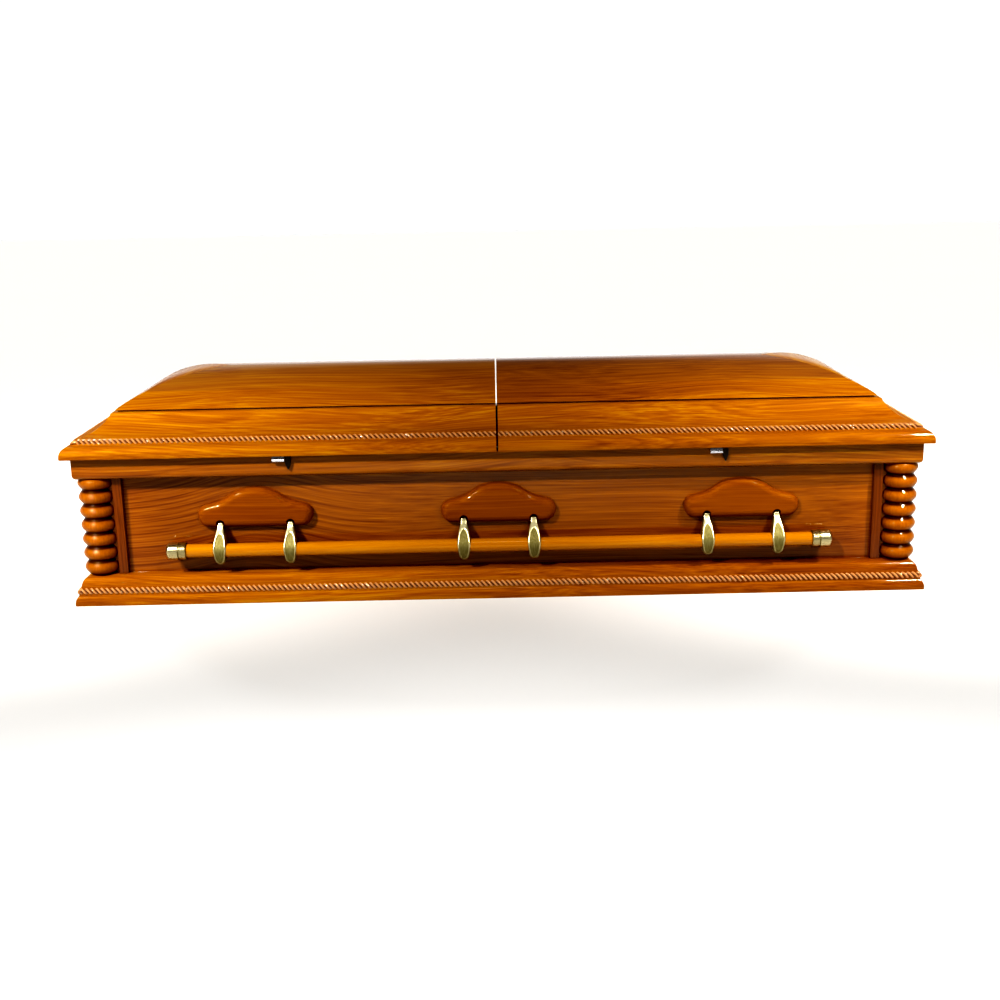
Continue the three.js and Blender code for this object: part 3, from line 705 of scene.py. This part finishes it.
# %% Strips
STRIP_ARRIS, ARRIS_SEGMENTS = 1.2, 3
BOARD_CORNERS = np.array([[0, 0, 0], [1, 0, 0], [1, 1, 0], [0, 1, 0],
                          [0, 0, 1], [1, 0, 1], [1, 1, 1], [0, 1, 1]])


def planed(name, low, high):
    """A strip between two opposite corners: each of its eight corners takes each of its three
    numbers from the low corner or from the high one."""
    points = np.where(BOARD_CORNERS, high, low)
    return shell(name, points, tube_faces(2, 4), [strip_wood], crease=60)


def bevelled(piece):
    """Live bevel that takes the arrises off a piece."""
    edge = piece.modifiers.new("arris", "BEVEL")
    edge.width, edge.segments, edge.limit_method = STRIP_ARRIS * MM, ARRIS_SEGMENTS, "ANGLE"
    edge.harden_normals = True


for corner_name in CORNERS:
    for kind in ("strip_", "strip_end_"):
        low, high = (np.array(corner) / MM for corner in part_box(kind + corner_name))
        strip = planed(kind + corner_name + "_planed", low, high)
        bevelled(show(strip, "box", "varnished_wood", kind + corner_name))

# %% [markdown]
# The ears are carved blocks, flat on the back, with a broad soft round on the front edge that
# catches the light all along the hump. The outline is a chain of Bezier curves, drawn for the right
# half and mirrored. The round is a slightly flattened quarter ellipse between the outline and a
# smaller outline on the front face. The two notches are cut afterwards with a Boolean, as a router
# would cut them.

# %% Carved ears
EAR_HALF_WIDTH = 141.5
EAR_BOTTOM, EAR_TOP = 184.0, 281.5
EAR_ROUND, EAR_ROUND_DEPTH, EAR_ROUND_POWER = 18.0, 14.0, 1.7
ARM_OFFSET = 86.0
NOTCH_HALF, NOTCH_CENTRE_Z = 10.0, 194.5
CUTTER_ROOM = 10.0


def ear_outline():
    """Closed outline of an ear about its own middle, anticlockwise from the bottom middle."""
    w, low, top = EAR_HALF_WIDTH, EAR_BOTTOM, EAR_TOP
    chain = [
        [[0, low], [40, low], [80, low], [w - 30, low]],
        [[w - 30, low], [w - 10, low], [w, 200], [w, 215]],
        [[w, 215], [w, 229], [w - 8, 237], [w - 24, 241]],
        [[w - 24, 241], [w - 42, 245], [w - 58, 249], [w - 76, 262]],
        [[w - 76, 262], [w - 92, 274], [w - 112, top], [0, top]],
    ]
    right = np.vstack([bezier(part, 14)[:-1] for part in chain])
    left = right[1:][::-1] * (-1, 1)
    return np.vstack([right, [[0, top]], left])


def inward_normals(outline):
    """Unit normals of a closed anticlockwise outline, pointing inwards."""
    along = np.roll(outline, -1, 0) - np.roll(outline, 1, 0)
    normal = np.column_stack([-along[:, 1], along[:, 0]])
    return normal / np.linalg.norm(normal, axis=1, keepdims=True)


def at_depth(outline, depth):
    """Points of an outline of places along X and heights, at one depth or at a depth for each."""
    depth = np.broadcast_to(depth, outline[..., :1].shape)
    return np.concatenate([outline[..., :1], depth, outline[..., 1:]], -1)


def notch_cutter(centre):
    """Cutter of a notch: a prism with a round top, running from front to back."""
    top = arc((centre, NOTCH_CENTRE_Z), NOTCH_HALF, NOTCH_HALF, 0, 180, 24)
    low = EAR_BOTTOM - 2 * CUTTER_ROOM
    outline = np.vstack([top, [[centre - NOTCH_HALF, low], [centre + NOTCH_HALF, low]]])
    depths = np.array([[[ear_front - CUTTER_ROOM]], [[ear_back + CUTTER_ROOM]]])
    points = at_depth(np.stack([outline, outline]), depths)
    return shell("cutter", points, tube_faces(*points.shape[:2]), [])


def cut_away(mesh, cutters, crease=CREASE):
    """The mesh less its cutters, worked out by Boolean modifiers and read back as a mesh."""
    work = new_object("work", mesh)
    helpers = [new_object("cutter", cutter) for cutter in cutters]
    for helper in helpers:
        cut = work.modifiers.new("cut", "BOOLEAN")
        cut.operation, cut.object, cut.solver = "DIFFERENCE", helper, "EXACT"
    bpy.context.view_layer.update()
    finished = work.evaluated_get(bpy.context.evaluated_depsgraph_get())
    result = bpy.data.meshes.new_from_object(finished)
    for made in [work, *helpers]:
        bpy.data.objects.remove(made)
    return smoothed(result, crease)


def ear_block():
    """Ear with a rounded front edge. The round is a quarter superellipse: the cosine and the sine
    are raised to two over its power, the outline moves inwards as the first falls, and its depth
    shrinks as the second grows."""
    outline = ear_outline()
    normal = inward_normals(outline)
    angle = np.radians(np.linspace(0, 90, 12))[:, None, None]
    power = 2 / EAR_ROUND_POWER
    flat = outline + normal * EAR_ROUND * (1 - np.clip(np.cos(angle), 0, 1) ** power)
    depth = ear_front + EAR_ROUND_DEPTH * (1 - np.sin(angle) ** power)
    points = np.concatenate([at_depth(outline, ear_back)[None], at_depth(flat, depth)])
    return shell("ear", points, tube_faces(*points.shape[:2]), [ear_wood])


ear_front, ear_back = (corner.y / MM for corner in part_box("front_ear_2"))
ear_mesh = cut_away(ear_block(), [notch_cutter(-ARM_OFFSET), notch_cutter(ARM_OFFSET)])
print("ear:", len(ear_mesh.polygons), "faces")


def copy_to(mesh, name, centre_x, back):
    """A copy of a mesh drawn about x = 0 on the front, moved along the box, or turned to the
    back."""
    made = mesh.copy()
    made.name = name
    turn = Matrix.Rotation(math.pi, 4, "Z") if back else Matrix.Identity(4)
    made.transform(Matrix.Translation((centre_x * MM, 0, 0)) @ turn)
    return made


def middle_of(node):
    """Where along the box a node is, in millimetres."""
    low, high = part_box(node)
    return (low.x + high.x) / 2 / MM


SIDES = ("front", "back")
for side_name in SIDES:
    for number in (1, 2, 3):
        node = f"{side_name}_ear_{number}"
        made = copy_to(ear_mesh, node + "_carved", middle_of(node), side_name == "back")
        show(made, "box", "varnished_wood", node)

# %% [markdown]
# Antique brass is plated, toned dark and then rubbed back, so its high places are pale and its
# hollows stay olive brown. The same attribute that paints shade on the wood tells the metal where
# its hollows are. A fine noise in the roughness keeps the shine from looking like a mirror.

# %% Metal finishes
SPECKLE = 0.10
HOLLOW_DULLNESS = 0.35
CATCH_PAINTED_SHADE_HEIGHTS = (0.3605, 0.3625)


def metal(name, high, low, roughness, scale=90.0, brushed=(1, 1, 1), rise=None):
    """Metal whose colour goes from high to low with the recess attribute and a little with a noise,
    and which is duller in its hollows. rise is an optional pair of heights between which it also
    turns dark towards the top, which is painted shade."""
    material, tree, shader = new_material(name)
    place = object_place(tree)
    drawn = vector(tree, "MULTIPLY", place, brushed)
    clouds = {"Vector": drawn, "Scale": scale, "Detail": 4.0}
    cloud = add(tree, "ShaderNodeTexNoise", clouds).outputs["Fac"]
    hollow = recess(tree)
    patches = weigh(tree, cloud, 4 * SPECKLE, -2 * SPECKLE)
    factor = reckon(tree, "ADD", hollow, patches, use_clamp=True)
    # Above these heights the metal is painted dark: painted shade
    if rise:
        share = 1 / (rise[1] - rise[0])
        above = weigh(tree, axis_of(tree, place, "Z"), share, -share * rise[0])
        factor = reckon(tree, "MAXIMUM", factor, above, use_clamp=True)
    dulled = weigh(tree, hollow, HOLLOW_DULLNESS, roughness - SPECKLE)
    feed(tree, shader, {
        "Base Color": ramp(tree, factor, [(0.0, high), (1.0, low)]),
        "Roughness": weigh(tree, cloud, 2 * SPECKLE, dulled),
        "Normal": relief(tree, cloud, 0.08, 0.0005), "Metallic": 1.0,
    })
    return material


antique_brass = metal(
    "antique_brass", (0.58, 0.53, 0.34), (0.14, 0.12, 0.035), 0.35, brushed=(4, 4, 0.4))
cap_brass = metal(
    "cap_brass", (0.50, 0.44, 0.27), (0.14, 0.12, 0.045), 0.28, scale=300, brushed=(0.15, 1, 1))
hinge_brass = metal("hinge_brass", (0.40, 0.30, 0.14), (0.20, 0.14, 0.06), 0.40)
# The bright steel of the catch is painted dark on its upper part: painted shade under the rim
bright_steel = metal(
    "bright_steel", (0.75, 0.76, 0.80), (0.10, 0.10, 0.11), 0.28, rise=CATCH_PAINTED_SHADE_HEIGHTS)
dark_steel = metal("dark_steel", (0.055, 0.045, 0.04), (0.02, 0.015, 0.012), 0.40)

# %% [markdown]
# The arms. Seen from the side, an arm hangs from a round boss, leans out over a slim neck, and
# swells into a foot that holds the bar. Seen from the front, it is a long leaf with raised bright
# edges round a sunken oval. A side view and a front view are all that is needed: at each height the
# front and back edges of the side view and the half width of the front view set a rounded section,
# and the front of that section is pushed in where the oval is.

# %% Cast arms
PIVOT_INSET, PIVOT_Z, BOSS_RADIUS = 46.0, 190.0, 8.0
BAR_INSET, BAR_RADIUS = 22.0, 17.0
FIELD_CENTRE_Z, FIELD_HALF_HEIGHT, FIELD_HALF_WIDTH = 137.0, 36.0, 12.0
FIELD_DEPTH, FIELD_STEP = 1.6, 0.16
EDGE_HEIGHT, EDGE_REACH, EDGE_FADE = 0.6, 40.0, 8.0
ARM_FOOT_Z, ARM_RISE, EVEN_SHARE = 97.5, 100.4, 0.6
ARM_HEIGHTS, ARM_AROUND, ARM_CORNER_POWER = 120, 96, 6
PIT_ASIDE, PIT_HEIGHTS, PIT_SPREAD, PIT_STAIN = 2.4, (186.5, 190.5), 1.6, 0.9
FIELD_STAIN, BACK_STAIN = 0.85, 0.5
FOOT_DARKENING_BELOW, FOOT_DARKENING_FADE, FOOT_DARKENING_MOST = 132.0, 22.0, 0.6


def boss_point(degrees):
    """A point on the boss at an angle that rises from its front."""
    angle = math.radians(degrees)
    return [PIVOT_INSET - BOSS_RADIUS * math.cos(angle), PIVOT_Z + BOSS_RADIUS * math.sin(angle)]


def arm_edges(height):
    """Insets of the front and the back of an arm, and its half width, at each height."""
    front = through([boss_point(90), boss_point(45), boss_point(0), [34, 183], [23, 170], [11, 154],
                     [3.4, 139], [2, 124], [7, 107], [17, 97.4]], 12)[::-1]
    back = through([[17, 97.4], [31, 103], [42, 118], [44, 133], [38.5, 150], [38, 163], [46, 177],
                    boss_point(218), boss_point(158), boss_point(90)], 12)
    width = through([[3, 97], [7, 99.5], [11, 105], [13.4, 114], [15.9, 128], [17.4, 139],
                     [15.9, 150], [11.4, 173], [7.9, 184], [7.0, 192], [4, 198.2]], 10)
    return [np.interp(height, curve[:, 1], curve[:, 0]) for curve in (front, back, width)]


def in_field(x, height):
    """1 inside the sunken oval and 0 outside it, with a narrow smooth step on its edge. The oval is
    an ellipse about the middle line of the arm."""
    reach = np.hypot(x / FIELD_HALF_WIDTH, (height - FIELD_CENTRE_Z) / FIELD_HALF_HEIGHT)
    step = np.clip((1 + FIELD_STEP / 2 - reach) / FIELD_STEP, 0, 1)
    return step * step * (3 - 2 * step)


def rounded_square(count, power):
    """Section of an arm: places spaced evenly round a square of half width 1, each moved towards
    the middle until the sum of its two coordinates raised to the power is 1. A high power leaves
    flat faces and small round corners."""
    side = np.linspace(-1, 1, count // 4, endpoint=False)
    edge = np.ones_like(side)
    runs = ((side, -edge), (edge, side), (-side, edge), (-edge, -side))
    square = np.concatenate([np.column_stack(run) for run in runs])
    return square / (np.abs(square) ** power).sum(1, keepdims=True) ** (1 / power)


def arm_mesh():
    """Stack of sections: each is the rounded square, stretched to the width of the front view and
    to the depth of the side view at its height, with the front pushed in where the oval is. The
    heights are a blend of even steps and of steps by the cosine, which are closer together at both
    ends."""
    share = np.linspace(0, 1, ARM_HEIGHTS)
    crowded = 0.5 - 0.5 * np.cos(np.pi * share)
    height = ARM_FOOT_Z + ARM_RISE * (EVEN_SHARE * share + (1 - EVEN_SHARE) * crowded)
    front, back, half = (edge[:, None] for edge in arm_edges(height))
    u, v = (line[None] for line in rounded_square(ARM_AROUND, ARM_CORNER_POWER).T)
    level = np.broadcast_to(height[:, None], (ARM_HEIGHTS, ARM_AROUND))
    facing = np.clip(-v, 0, 1) ** 2
    raised = np.clip((EDGE_REACH - np.abs(level - FIELD_CENTRE_Z)) / EDGE_FADE, 0, 1)
    push = in_field(u * half, level) * (FIELD_DEPTH + EDGE_HEIGHT) - EDGE_HEIGHT * raised
    y = (front + back) / 2 + v * (back - front) / 2 + facing * push - HALF_WIDTH
    points = np.stack([u * half, y, level], -1)
    return shell("arm", points, tube_faces(ARM_HEIGHTS, ARM_AROUND), [antique_brass], crease=60)

# %% [markdown]
# The bar and its cups are turned on one axis, so each is a profile of radius and place along that
# axis, carried round in a circle. A short rod, a hair thicker than the bar, is also the cutter that
# bores the feet of the arms.

# %% Turning about the axis of the bar
BAR_Z = sum(corner.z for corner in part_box("front_bar")) / 2 / MM
BAR_Y = BAR_INSET - HALF_WIDTH
ROD_ARRIS, SHOULDER_ARRIS, TENON_STEP = 1.0, 0.6, 1.5


def rod_profile(radius, x_low, x_high, tenon=0.0):
    """Radius and place along X of a rod with its arrises taken off, and with a slimmer tenon at
    both ends if the tenon has a length."""
    neck = radius - TENON_STEP if tenon else radius
    end = [[0, 0], [neck - ROD_ARRIS, 0], [neck, ROD_ARRIS]]
    if tenon:
        end += [[neck, tenon], [radius - SHOULDER_ARRIS, tenon], [radius, tenon + SHOULDER_ARRIS]]
    end = np.array(end)
    return np.vstack([end + (0, x_low), end[::-1] * (1, -1) + (0, x_high)])


def turned_along_x(name, profile, centre_y, materials, around=64):
    """Profile of radius and place along X, turned about an axis parallel to X at the height of the
    bar."""
    angle = np.linspace(0, math.tau, around, endpoint=False)[None]
    radius, along = profile[:, :1], np.broadcast_to(profile[:, 1:], (len(profile), around))
    y, z = centre_y + radius * np.cos(angle), BAR_Z + radius * np.sin(angle)
    points = np.stack([along, y, z], -1)
    faces = grid_quads(len(profile), around, wrap_columns=True)
    return shell(name, points, faces, materials, crease=40)


print(f"bar axis at y {BAR_Y:.1f} and z {BAR_Z:.1f} mm")

# %% Arms in their places
BORE_REACH = 40
bore_profile = rod_profile(BAR_RADIUS + GAP, -BORE_REACH, BORE_REACH)
bore = turned_along_x("cutter", bore_profile, BAR_Y, [], 48)
arm = cut_away(arm_mesh(), [bore], crease=50)
print("arm:", len(arm.polygons), "faces")


def arm_hollows(mesh):
    """Dark in the oval and in the small pits of the neck, and darker towards the foot."""
    x, y, z = coordinates(mesh).T
    front, back, _ = arm_edges(z)
    facing = y < (front + back) / 2 - HALF_WIDTH
    squared = [(np.abs(x) - PIT_ASIDE) ** 2 + (z - pit_z) ** 2 for pit_z in PIT_HEIGHTS]
    pits = PIT_STAIN * np.exp(-np.array(squared) / PIT_SPREAD).sum(0)
    foot = FOOT_DARKENING_MOST * np.clip((FOOT_DARKENING_BELOW - z) / FOOT_DARKENING_FADE, 0, 1)
    front_stain = np.clip(np.maximum(FIELD_STAIN * in_field(x, z), foot) + pits, 0, 1)
    return np.where(facing, front_stain, BACK_STAIN)


stain_and_shade(arm, arm_hollows(arm))
for side_name in SIDES:
    for number in range(1, 7):
        node = f"{side_name}_arm_{number}"
        made = copy_to(arm, node + "_cast", middle_of(node), side_name == "back")
        show(made, "handle_" + side_name, "antique_brass", node)

# %% [markdown]
# The bar is turned wood, lighter and yellower than the box. Each end is turned down to a tenon that
# sits in a brass cup. The cup has a finely ribbed band next to the wood, a groove, and a plain
# barrel that is rounded over at the end.

# %% Bars and caps
CAP_RADIUS, CAP_LENGTH, CAP_FLOOR = 21.5, 47.0, 41.0
CAP_ROUND, CAP_ROUND_LENGTH, LIP_ARRIS = 7.0, 8.0, 0.8
RIB_START, RIB_END, RIB_PITCH, RIB_DEPTH = 2.0, 16.5, 2.4, 0.35
GROOVE_DEPTH = 1.3
CAP_STAIN_DEPTH, CAP_STAIN_FADE, CAP_STAIN_MOST = 0.25, 1.2, 0.9
TENON = 30.0


def cap_profile():
    """Radius and distance from the open end: down the hollow, out over the lip, the ribs as a
    cosine, the groove, the barrel and its rounded end, to the axis."""
    inner = BAR_RADIUS + GAP
    along = np.linspace(RIB_START, RIB_END, 49)
    ribs = CAP_RADIUS - RIB_DEPTH - RIB_DEPTH * np.cos(math.tau * (along - RIB_START) / RIB_PITCH)
    low = CAP_RADIUS - GROOVE_DEPTH
    groove = [[CAP_RADIUS, 16.9], [low, 17.4], [low, 18.6], [CAP_RADIUS, 19.2]]
    centre = (CAP_RADIUS - CAP_ROUND, CAP_LENGTH - CAP_ROUND_LENGTH)
    edge = arc(centre, CAP_ROUND, CAP_ROUND_LENGTH, 0, 90, 12)
    lip = [[CAP_RADIUS - LIP_ARRIS, 0], [CAP_RADIUS, LIP_ARRIS]]
    return np.vstack([
        [[0, CAP_FLOOR], [inner, CAP_FLOOR], [inner, 0]], lip,
        np.column_stack([ribs, along]), groove, edge, [[0, CAP_LENGTH]],
    ])


def cap(node, body, centre_y):
    """Cap in the place of its node, with its closed end away from the middle of the bar. The ribs,
    the groove and the hollow are stained, on the half beside the wood."""
    low, high = (corner.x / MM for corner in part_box(node))
    profile = cap_profile()
    profile[:, 1] = low + profile[:, 1] if low > 0 else high - profile[:, 1]
    mesh = turned_along_x(node + "_turned", profile, centre_y, [cap_brass], 72)
    x, y, z = coordinates(mesh).T
    radius = np.hypot(y - centre_y, z - BAR_Z)
    sunk = np.clip((CAP_RADIUS - CAP_STAIN_DEPTH - radius) / CAP_STAIN_FADE, 0, 1)
    beside_wood = np.abs(x) < np.abs(high + low) / 2
    stain_and_shade(mesh, CAP_STAIN_MOST * sunk * beside_wood)
    show(mesh, body, "antique_brass", node)


for side_name, side_sign in zip(SIDES, (1, -1)):
    low, high = (corner.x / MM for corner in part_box(side_name + "_bar"))
    body = "handle_" + side_name
    profile = rod_profile(BAR_RADIUS, low, high, TENON)
    bar = turned_along_x(side_name + "_bar_turned", profile, side_sign * BAR_Y, [bar_wood])
    show(bar, body, "bar_wood", side_name + "_bar")
    for number in (1, 2):
        cap(f"{side_name}_bar_cap_{number}", body, side_sign * BAR_Y)

# %% [markdown]
# The lid. Its rim has a rounded nose, an ovolo, the seat of the rope, a hollow cove that climbs to
# a small bright fillet, and a dark groove behind it. Both halves are the same profile carried round
# three sides.

# %% Lid rims and their ropes
LID_ROPE_SEAT = np.array([[24, 400.5], [37, 412.5]])
CROWN_EDGE_INSET, CROWN_INNER_INSET, CROWN_SEAT_INSET = 113.5, 133.0, 119.0
GROOVE_Z, CROWN_EDGE_Z = 464.4, 467.8
RIM_INNER = 76.0


def rim_profile():
    """From the inner face along the bottom, over the nose, up to the groove and down the stepped
    inside."""
    nose = arc((2, LID_BOTTOM + 2), 2, 2, 270, 180, 4)
    ovolo = bezier([[0, 375], [0.5, 389], [9, 398], [23.5, 400]], 16)
    cove = bezier([[40.5, 413.5], [80, 423], [102, 457]], 24)
    fillet = [[103.5, 461.5], [104.6, 462.8], [109, 463.6], [110, GROOVE_Z]]
    inside = [[CROWN_INNER_INSET, GROOVE_Z], [CROWN_INNER_INSET, 457], [108, 440], [80, 414],
              [RIM_INNER, 410]]
    return np.vstack([[[RIM_INNER, LID_BOTTOM]], nose, ovolo, LID_ROPE_SEAT, cove, fillet, inside])


HALVES = (("left", -1), ("right", 1))
for half_name, sign in HALVES:
    body = "lid_" + half_name
    woods = [rim_wood, rim_end_wood]
    rim = moulding_half(f"lid_rim_{half_name}_shaped", rim_profile(), sign, woods)
    show(rim, body, "varnished_wood", "lid_rim_" + half_name)
    run = half_round(sign)
    if sign < 0:
        run = tuple(line[::-1] for line in run)
    lid_rope = rope(f"lid_rope_{half_name}_carved", LID_ROPE_SEAT, run, False)
    show(lid_rope, body, "varnished_wood", "lid_rope_" + half_name)

# %% [markdown]
# The crown is a hollow vault. Along its length it is one arch, and at the ends the same arch comes
# down over the hip, so the whole vault is again a profile carried round, from its edge to the
# ridge. At the ridge the front and back runs close on each other, which is why this profile is open
# and the weld joins it.

# %% Vaulted crowns
CROWN_THICKNESS = 16.0
CROWN_STEPS = 40
SQUARE_SHARE, SINE_SHARE = 0.8, 0.2


def vault(edge_inset, ridge_z):
    """Section of the vault from edge to ridge. The angle goes from 0 to 90 degrees: the inset
    follows its cosine, and the rise is four fifths of its squared sine and one fifth of its
    sine."""
    angle = np.linspace(0, math.pi / 2, CROWN_STEPS + 1)
    inset = HALF_WIDTH - (HALF_WIDTH - edge_inset) * np.cos(angle)
    rise = SQUARE_SHARE * np.sin(angle) ** 2 + SINE_SHARE * np.sin(angle)
    return np.column_stack([inset, CROWN_EDGE_Z + (ridge_z - CROWN_EDGE_Z) * rise])


def crown_profile():
    """Inner ridge down to the inner edge, along the seat and the lip, and up the outside to the
    ridge."""
    low = GROOVE_Z + GAP
    inner = vault(CROWN_INNER_INSET, RIDGE_Z - CROWN_THICKNESS)[::-1]
    seat = [[CROWN_INNER_INSET, low], [CROWN_SEAT_INSET, low], [CROWN_SEAT_INSET, CROWN_EDGE_Z],
            [CROWN_EDGE_INSET + 1.0, CROWN_EDGE_Z]]
    outer = vault(CROWN_EDGE_INSET, RIDGE_Z)[1:]
    return np.vstack([inner, seat, [[CROWN_EDGE_INSET + 0.2, CROWN_EDGE_Z + 0.5]], outer])


for half_name, sign in HALVES:
    points = carried(crown_profile(), *half_round(sign))
    rows, count = points.shape[:2]
    cut = list(range(count)) + list(range((rows - 1) * count, rows * count))[::-1]
    faces = grid_quads(rows, count) + [cut]
    sides = np.append(ends_of(rows - 1, count - 1), [0])
    woods = [crown_woods[half_name], crown_end_wood]
    crown = shell(f"lid_crown_{half_name}_shaped", points, faces, woods, sides)
    show(crown, "lid_" + half_name, "varnished_wood", "lid_crown_" + half_name)

# %% [markdown]
# The small fittings: a bright plate under the rim whose lower edge is rolled forwards, a dark
# tongue beside it on the rail, and the long hinges at the back. The upper part of the plate is
# painted dark, as painted shade under the rim.

# %% Catches and hinges
for half_name, sign in HALVES:
    finish_node("lid_catch_" + half_name, bright_steel)
    finish_node("catch_keeper_" + half_name, dark_steel)
    finish_node("hinge_rail_leaf_" + half_name, hinge_brass)
    finish_node("hinge_lid_leaf_" + half_name, hinge_brass)

# %% [markdown]
# The studio. The floor is plain paper, paler away from the casket, so that little light comes up
# from it into the shadows. The surround is pale at the horizon and dim above. Two far lamps light
# the casket evenly from the front, the left one stronger, so that the shadows of the handle fall to
# the right. On each side a group of three brighter ones rakes over the end, where the varnish
# shines most. Small lamps strike sparks on the turned columns, one overhead lamp lights only the
# paper in front, and two cool lamps behind keep the back from going dark.

# %% Floor
FLOOR_REACH = 20.0
PAPER_SPREAD = 4.0

floor_material, tree, shader = new_material("floor_paper")
length = add(tree, "ShaderNodeVectorMath", {0: object_place(tree)}, operation="LENGTH")
away = length.outputs["Value"]
paper = ramp(tree, weigh(tree, away, 1 / PAPER_SPREAD, 0.0), [(0.25, 0.58), (0.55, 0.88)])
feed(tree, shader, {"Base Color": paper, "Roughness": 0.9, "Specular IOR Level": 0.1})
floor_mesh = bpy.data.meshes.new("floor")
corners = FLOOR_REACH * np.array([[-1, -1, 0], [1, -1, 0], [1, 1, 0], [-1, 1, 0]])
floor_mesh.from_pydata(corners.tolist(), [], [[0, 1, 2, 3]])
floor_mesh.materials.append(floor_material)
floor = new_object("floor", floor_mesh)

# %% Light
HORIZON, HAZE, ZENITH = (0.62, 0.63, 0.64), (0.36, 0.37, 0.38), (0.06, 0.065, 0.07)

world = bpy.data.worlds.new("surround")
bpy.context.scene.world = world
world.use_nodes = True
tree = world.node_tree
rise = axis_of(tree, add(tree, "ShaderNodeTexCoord", {}).outputs["Generated"], "Z")
sky = ramp(tree, rise, [(0.0, HORIZON), (0.118, HORIZON), (0.15, HAZE), (0.30, ZENITH)])
feed(tree, tree.nodes["Background"], {"Color": sky})


def standing(place, right, up, back):
    """Matrix of a lamp or camera at a place, which looks away from its back."""
    matrix = np.eye(4)
    matrix[:3] = np.column_stack([right, up, back, place])
    return Matrix(matrix.tolist())


def aim(place, target):
    """Matrix of a lamp at a place that looks at a target, with the X axis level."""
    back = np.array(place, float) - target
    back /= np.linalg.norm(back)
    right = np.cross((0, 0, 1), back)
    right /= np.linalg.norm(right)
    return standing(place, right, np.cross(back, right), back)


def hang(light, place, target, strength, colour):
    """Puts a light with a strength and a colour at a place, looking at a target."""
    light.energy, light.color = strength, colour
    new_object(light.name, light).matrix_world = aim(place, target)


def lamp(name, place, target, watts, radius, colour, cone):
    """Round lamp whose beam fades evenly from its middle to the edge of its cone."""
    light = bpy.data.lights.new(name, "SPOT")
    light.shadow_soft_size = radius
    light.spot_size, light.spot_blend = math.radians(cone), 1.0
    hang(light, place, target, watts, colour)


WHITE, WARM, COOL = (1, 1, 1), (1.0, 0.97, 0.92), (0.92, 0.96, 1.0)
FAR = {-1: ((-2.8, -3.2, 3.55), 2.35), 1: ((2.4, -3.2, 3.6), 0.85)}
FAR_TARGET, FAR_ANGLE = (0, 0, 0.25), 1.6
KEYS = {-1: ((-2.4, -2.5, 2.8), 560), 1: ((2.2, -1.9, 3.2), 590)}
KEY_TARGET, KEY_RADIUS, KEY_CONE = (1.16, -0.1, 0.52), 0.06, 36
KEY_SHIFTS, KEY_CLIMB = (-0.16, 0.0, 0.16), 0.6
SPARK_PLACES = ((1.2, -3.3, 0.9), (1.8, -3.3, 1.1), (1.5, -3.3, 2.3))
SPARK_TARGET, SPARK_WATTS, SPARK_RADIUS, SPARK_CONE = (0.995, -0.33, 0.205), 70, 0.05, 5
BACK_PLACE, BACK_TARGET = (3.2, 2.2, 1.7), (0.5, 0.2, 0.3)
BACK_WATTS, BACK_RADIUS, BACK_CONE = 110, 0.3, 120

lamp("foreground", (0, -2.2, 3.2), (0, -1.7, 0), 240, 0.5, WHITE, 40)
for sign in (-1, 1):
    side = np.array([sign, 1, 1])
    sun = bpy.data.lights.new(f"far_{sign}", "SUN")
    sun.angle = math.radians(FAR_ANGLE)
    hang(sun, FAR[sign][0], FAR_TARGET, FAR[sign][1], WARM)
    key_place, key_watts = KEYS[sign]
    for k, shift in enumerate(KEY_SHIFTS):
        place = np.array(key_place) + (sign * shift, 0, KEY_CLIMB * shift)
        watts = key_watts / len(KEY_SHIFTS)
        lamp(f"key_{sign}_{k}", place, side * KEY_TARGET, watts, KEY_RADIUS, WARM, KEY_CONE)
    for k, place in enumerate(SPARK_PLACES):
        lamp(f"spark_{sign}_{k}", side * place, side * SPARK_TARGET,
             SPARK_WATTS, SPARK_RADIUS, WARM, SPARK_CONE)
    lamp(f"back_{sign}", side * BACK_PLACE, side * BACK_TARGET,
         BACK_WATTS, BACK_RADIUS, COOL, BACK_CONE)
print(len(bpy.data.lights), "lamps")

# %% [markdown]
# The camera stands a little over three metres in front of the casket, at eye height of someone
# stooping, and leans by about a degree. Its place and angles were fitted to the picture. The view
# has a strong contrast, and its black level takes the last haze out of the shadows.

# %% Camera
CAMERA_PLACE = (-0.0029, -3.425, 1.0215)
CAMERA_YAW, CAMERA_PITCH, CAMERA_ROLL = 0.00225, 0.24607, 0.01947
SENSOR_WIDTH = 36.0
FOCAL_SHARE = 1.31104
BLACK_LEVEL = 0.016

level_right = np.array([math.cos(CAMERA_YAW), -math.sin(CAMERA_YAW), 0])
level_ahead = np.array([math.sin(CAMERA_YAW), math.cos(CAMERA_YAW), 0])
toward = math.cos(CAMERA_PITCH) * level_ahead - (0, 0, math.sin(CAMERA_PITCH))
level_down = np.cross(toward, level_right)
right = math.cos(CAMERA_ROLL) * level_right + math.sin(CAMERA_ROLL) * level_down
down = math.cos(CAMERA_ROLL) * level_down - math.sin(CAMERA_ROLL) * level_right
camera_data = bpy.data.cameras.new("camera")
camera_data.sensor_width = SENSOR_WIDTH
camera_data.lens = SENSOR_WIDTH * FOCAL_SHARE
camera = new_object("camera", camera_data)
camera.matrix_world = standing(CAMERA_PLACE, right, -down, -toward)
bpy.context.scene.camera = camera

view = bpy.context.scene.view_settings
view.view_transform = "Standard"
view.look = "Very High Contrast"
view.use_curve_mapping = True
view.curve_mapping.black_level = (BLACK_LEVEL,) * 3
view.curve_mapping.update()
print("lens:", round(camera_data.lens, 2), "mm")
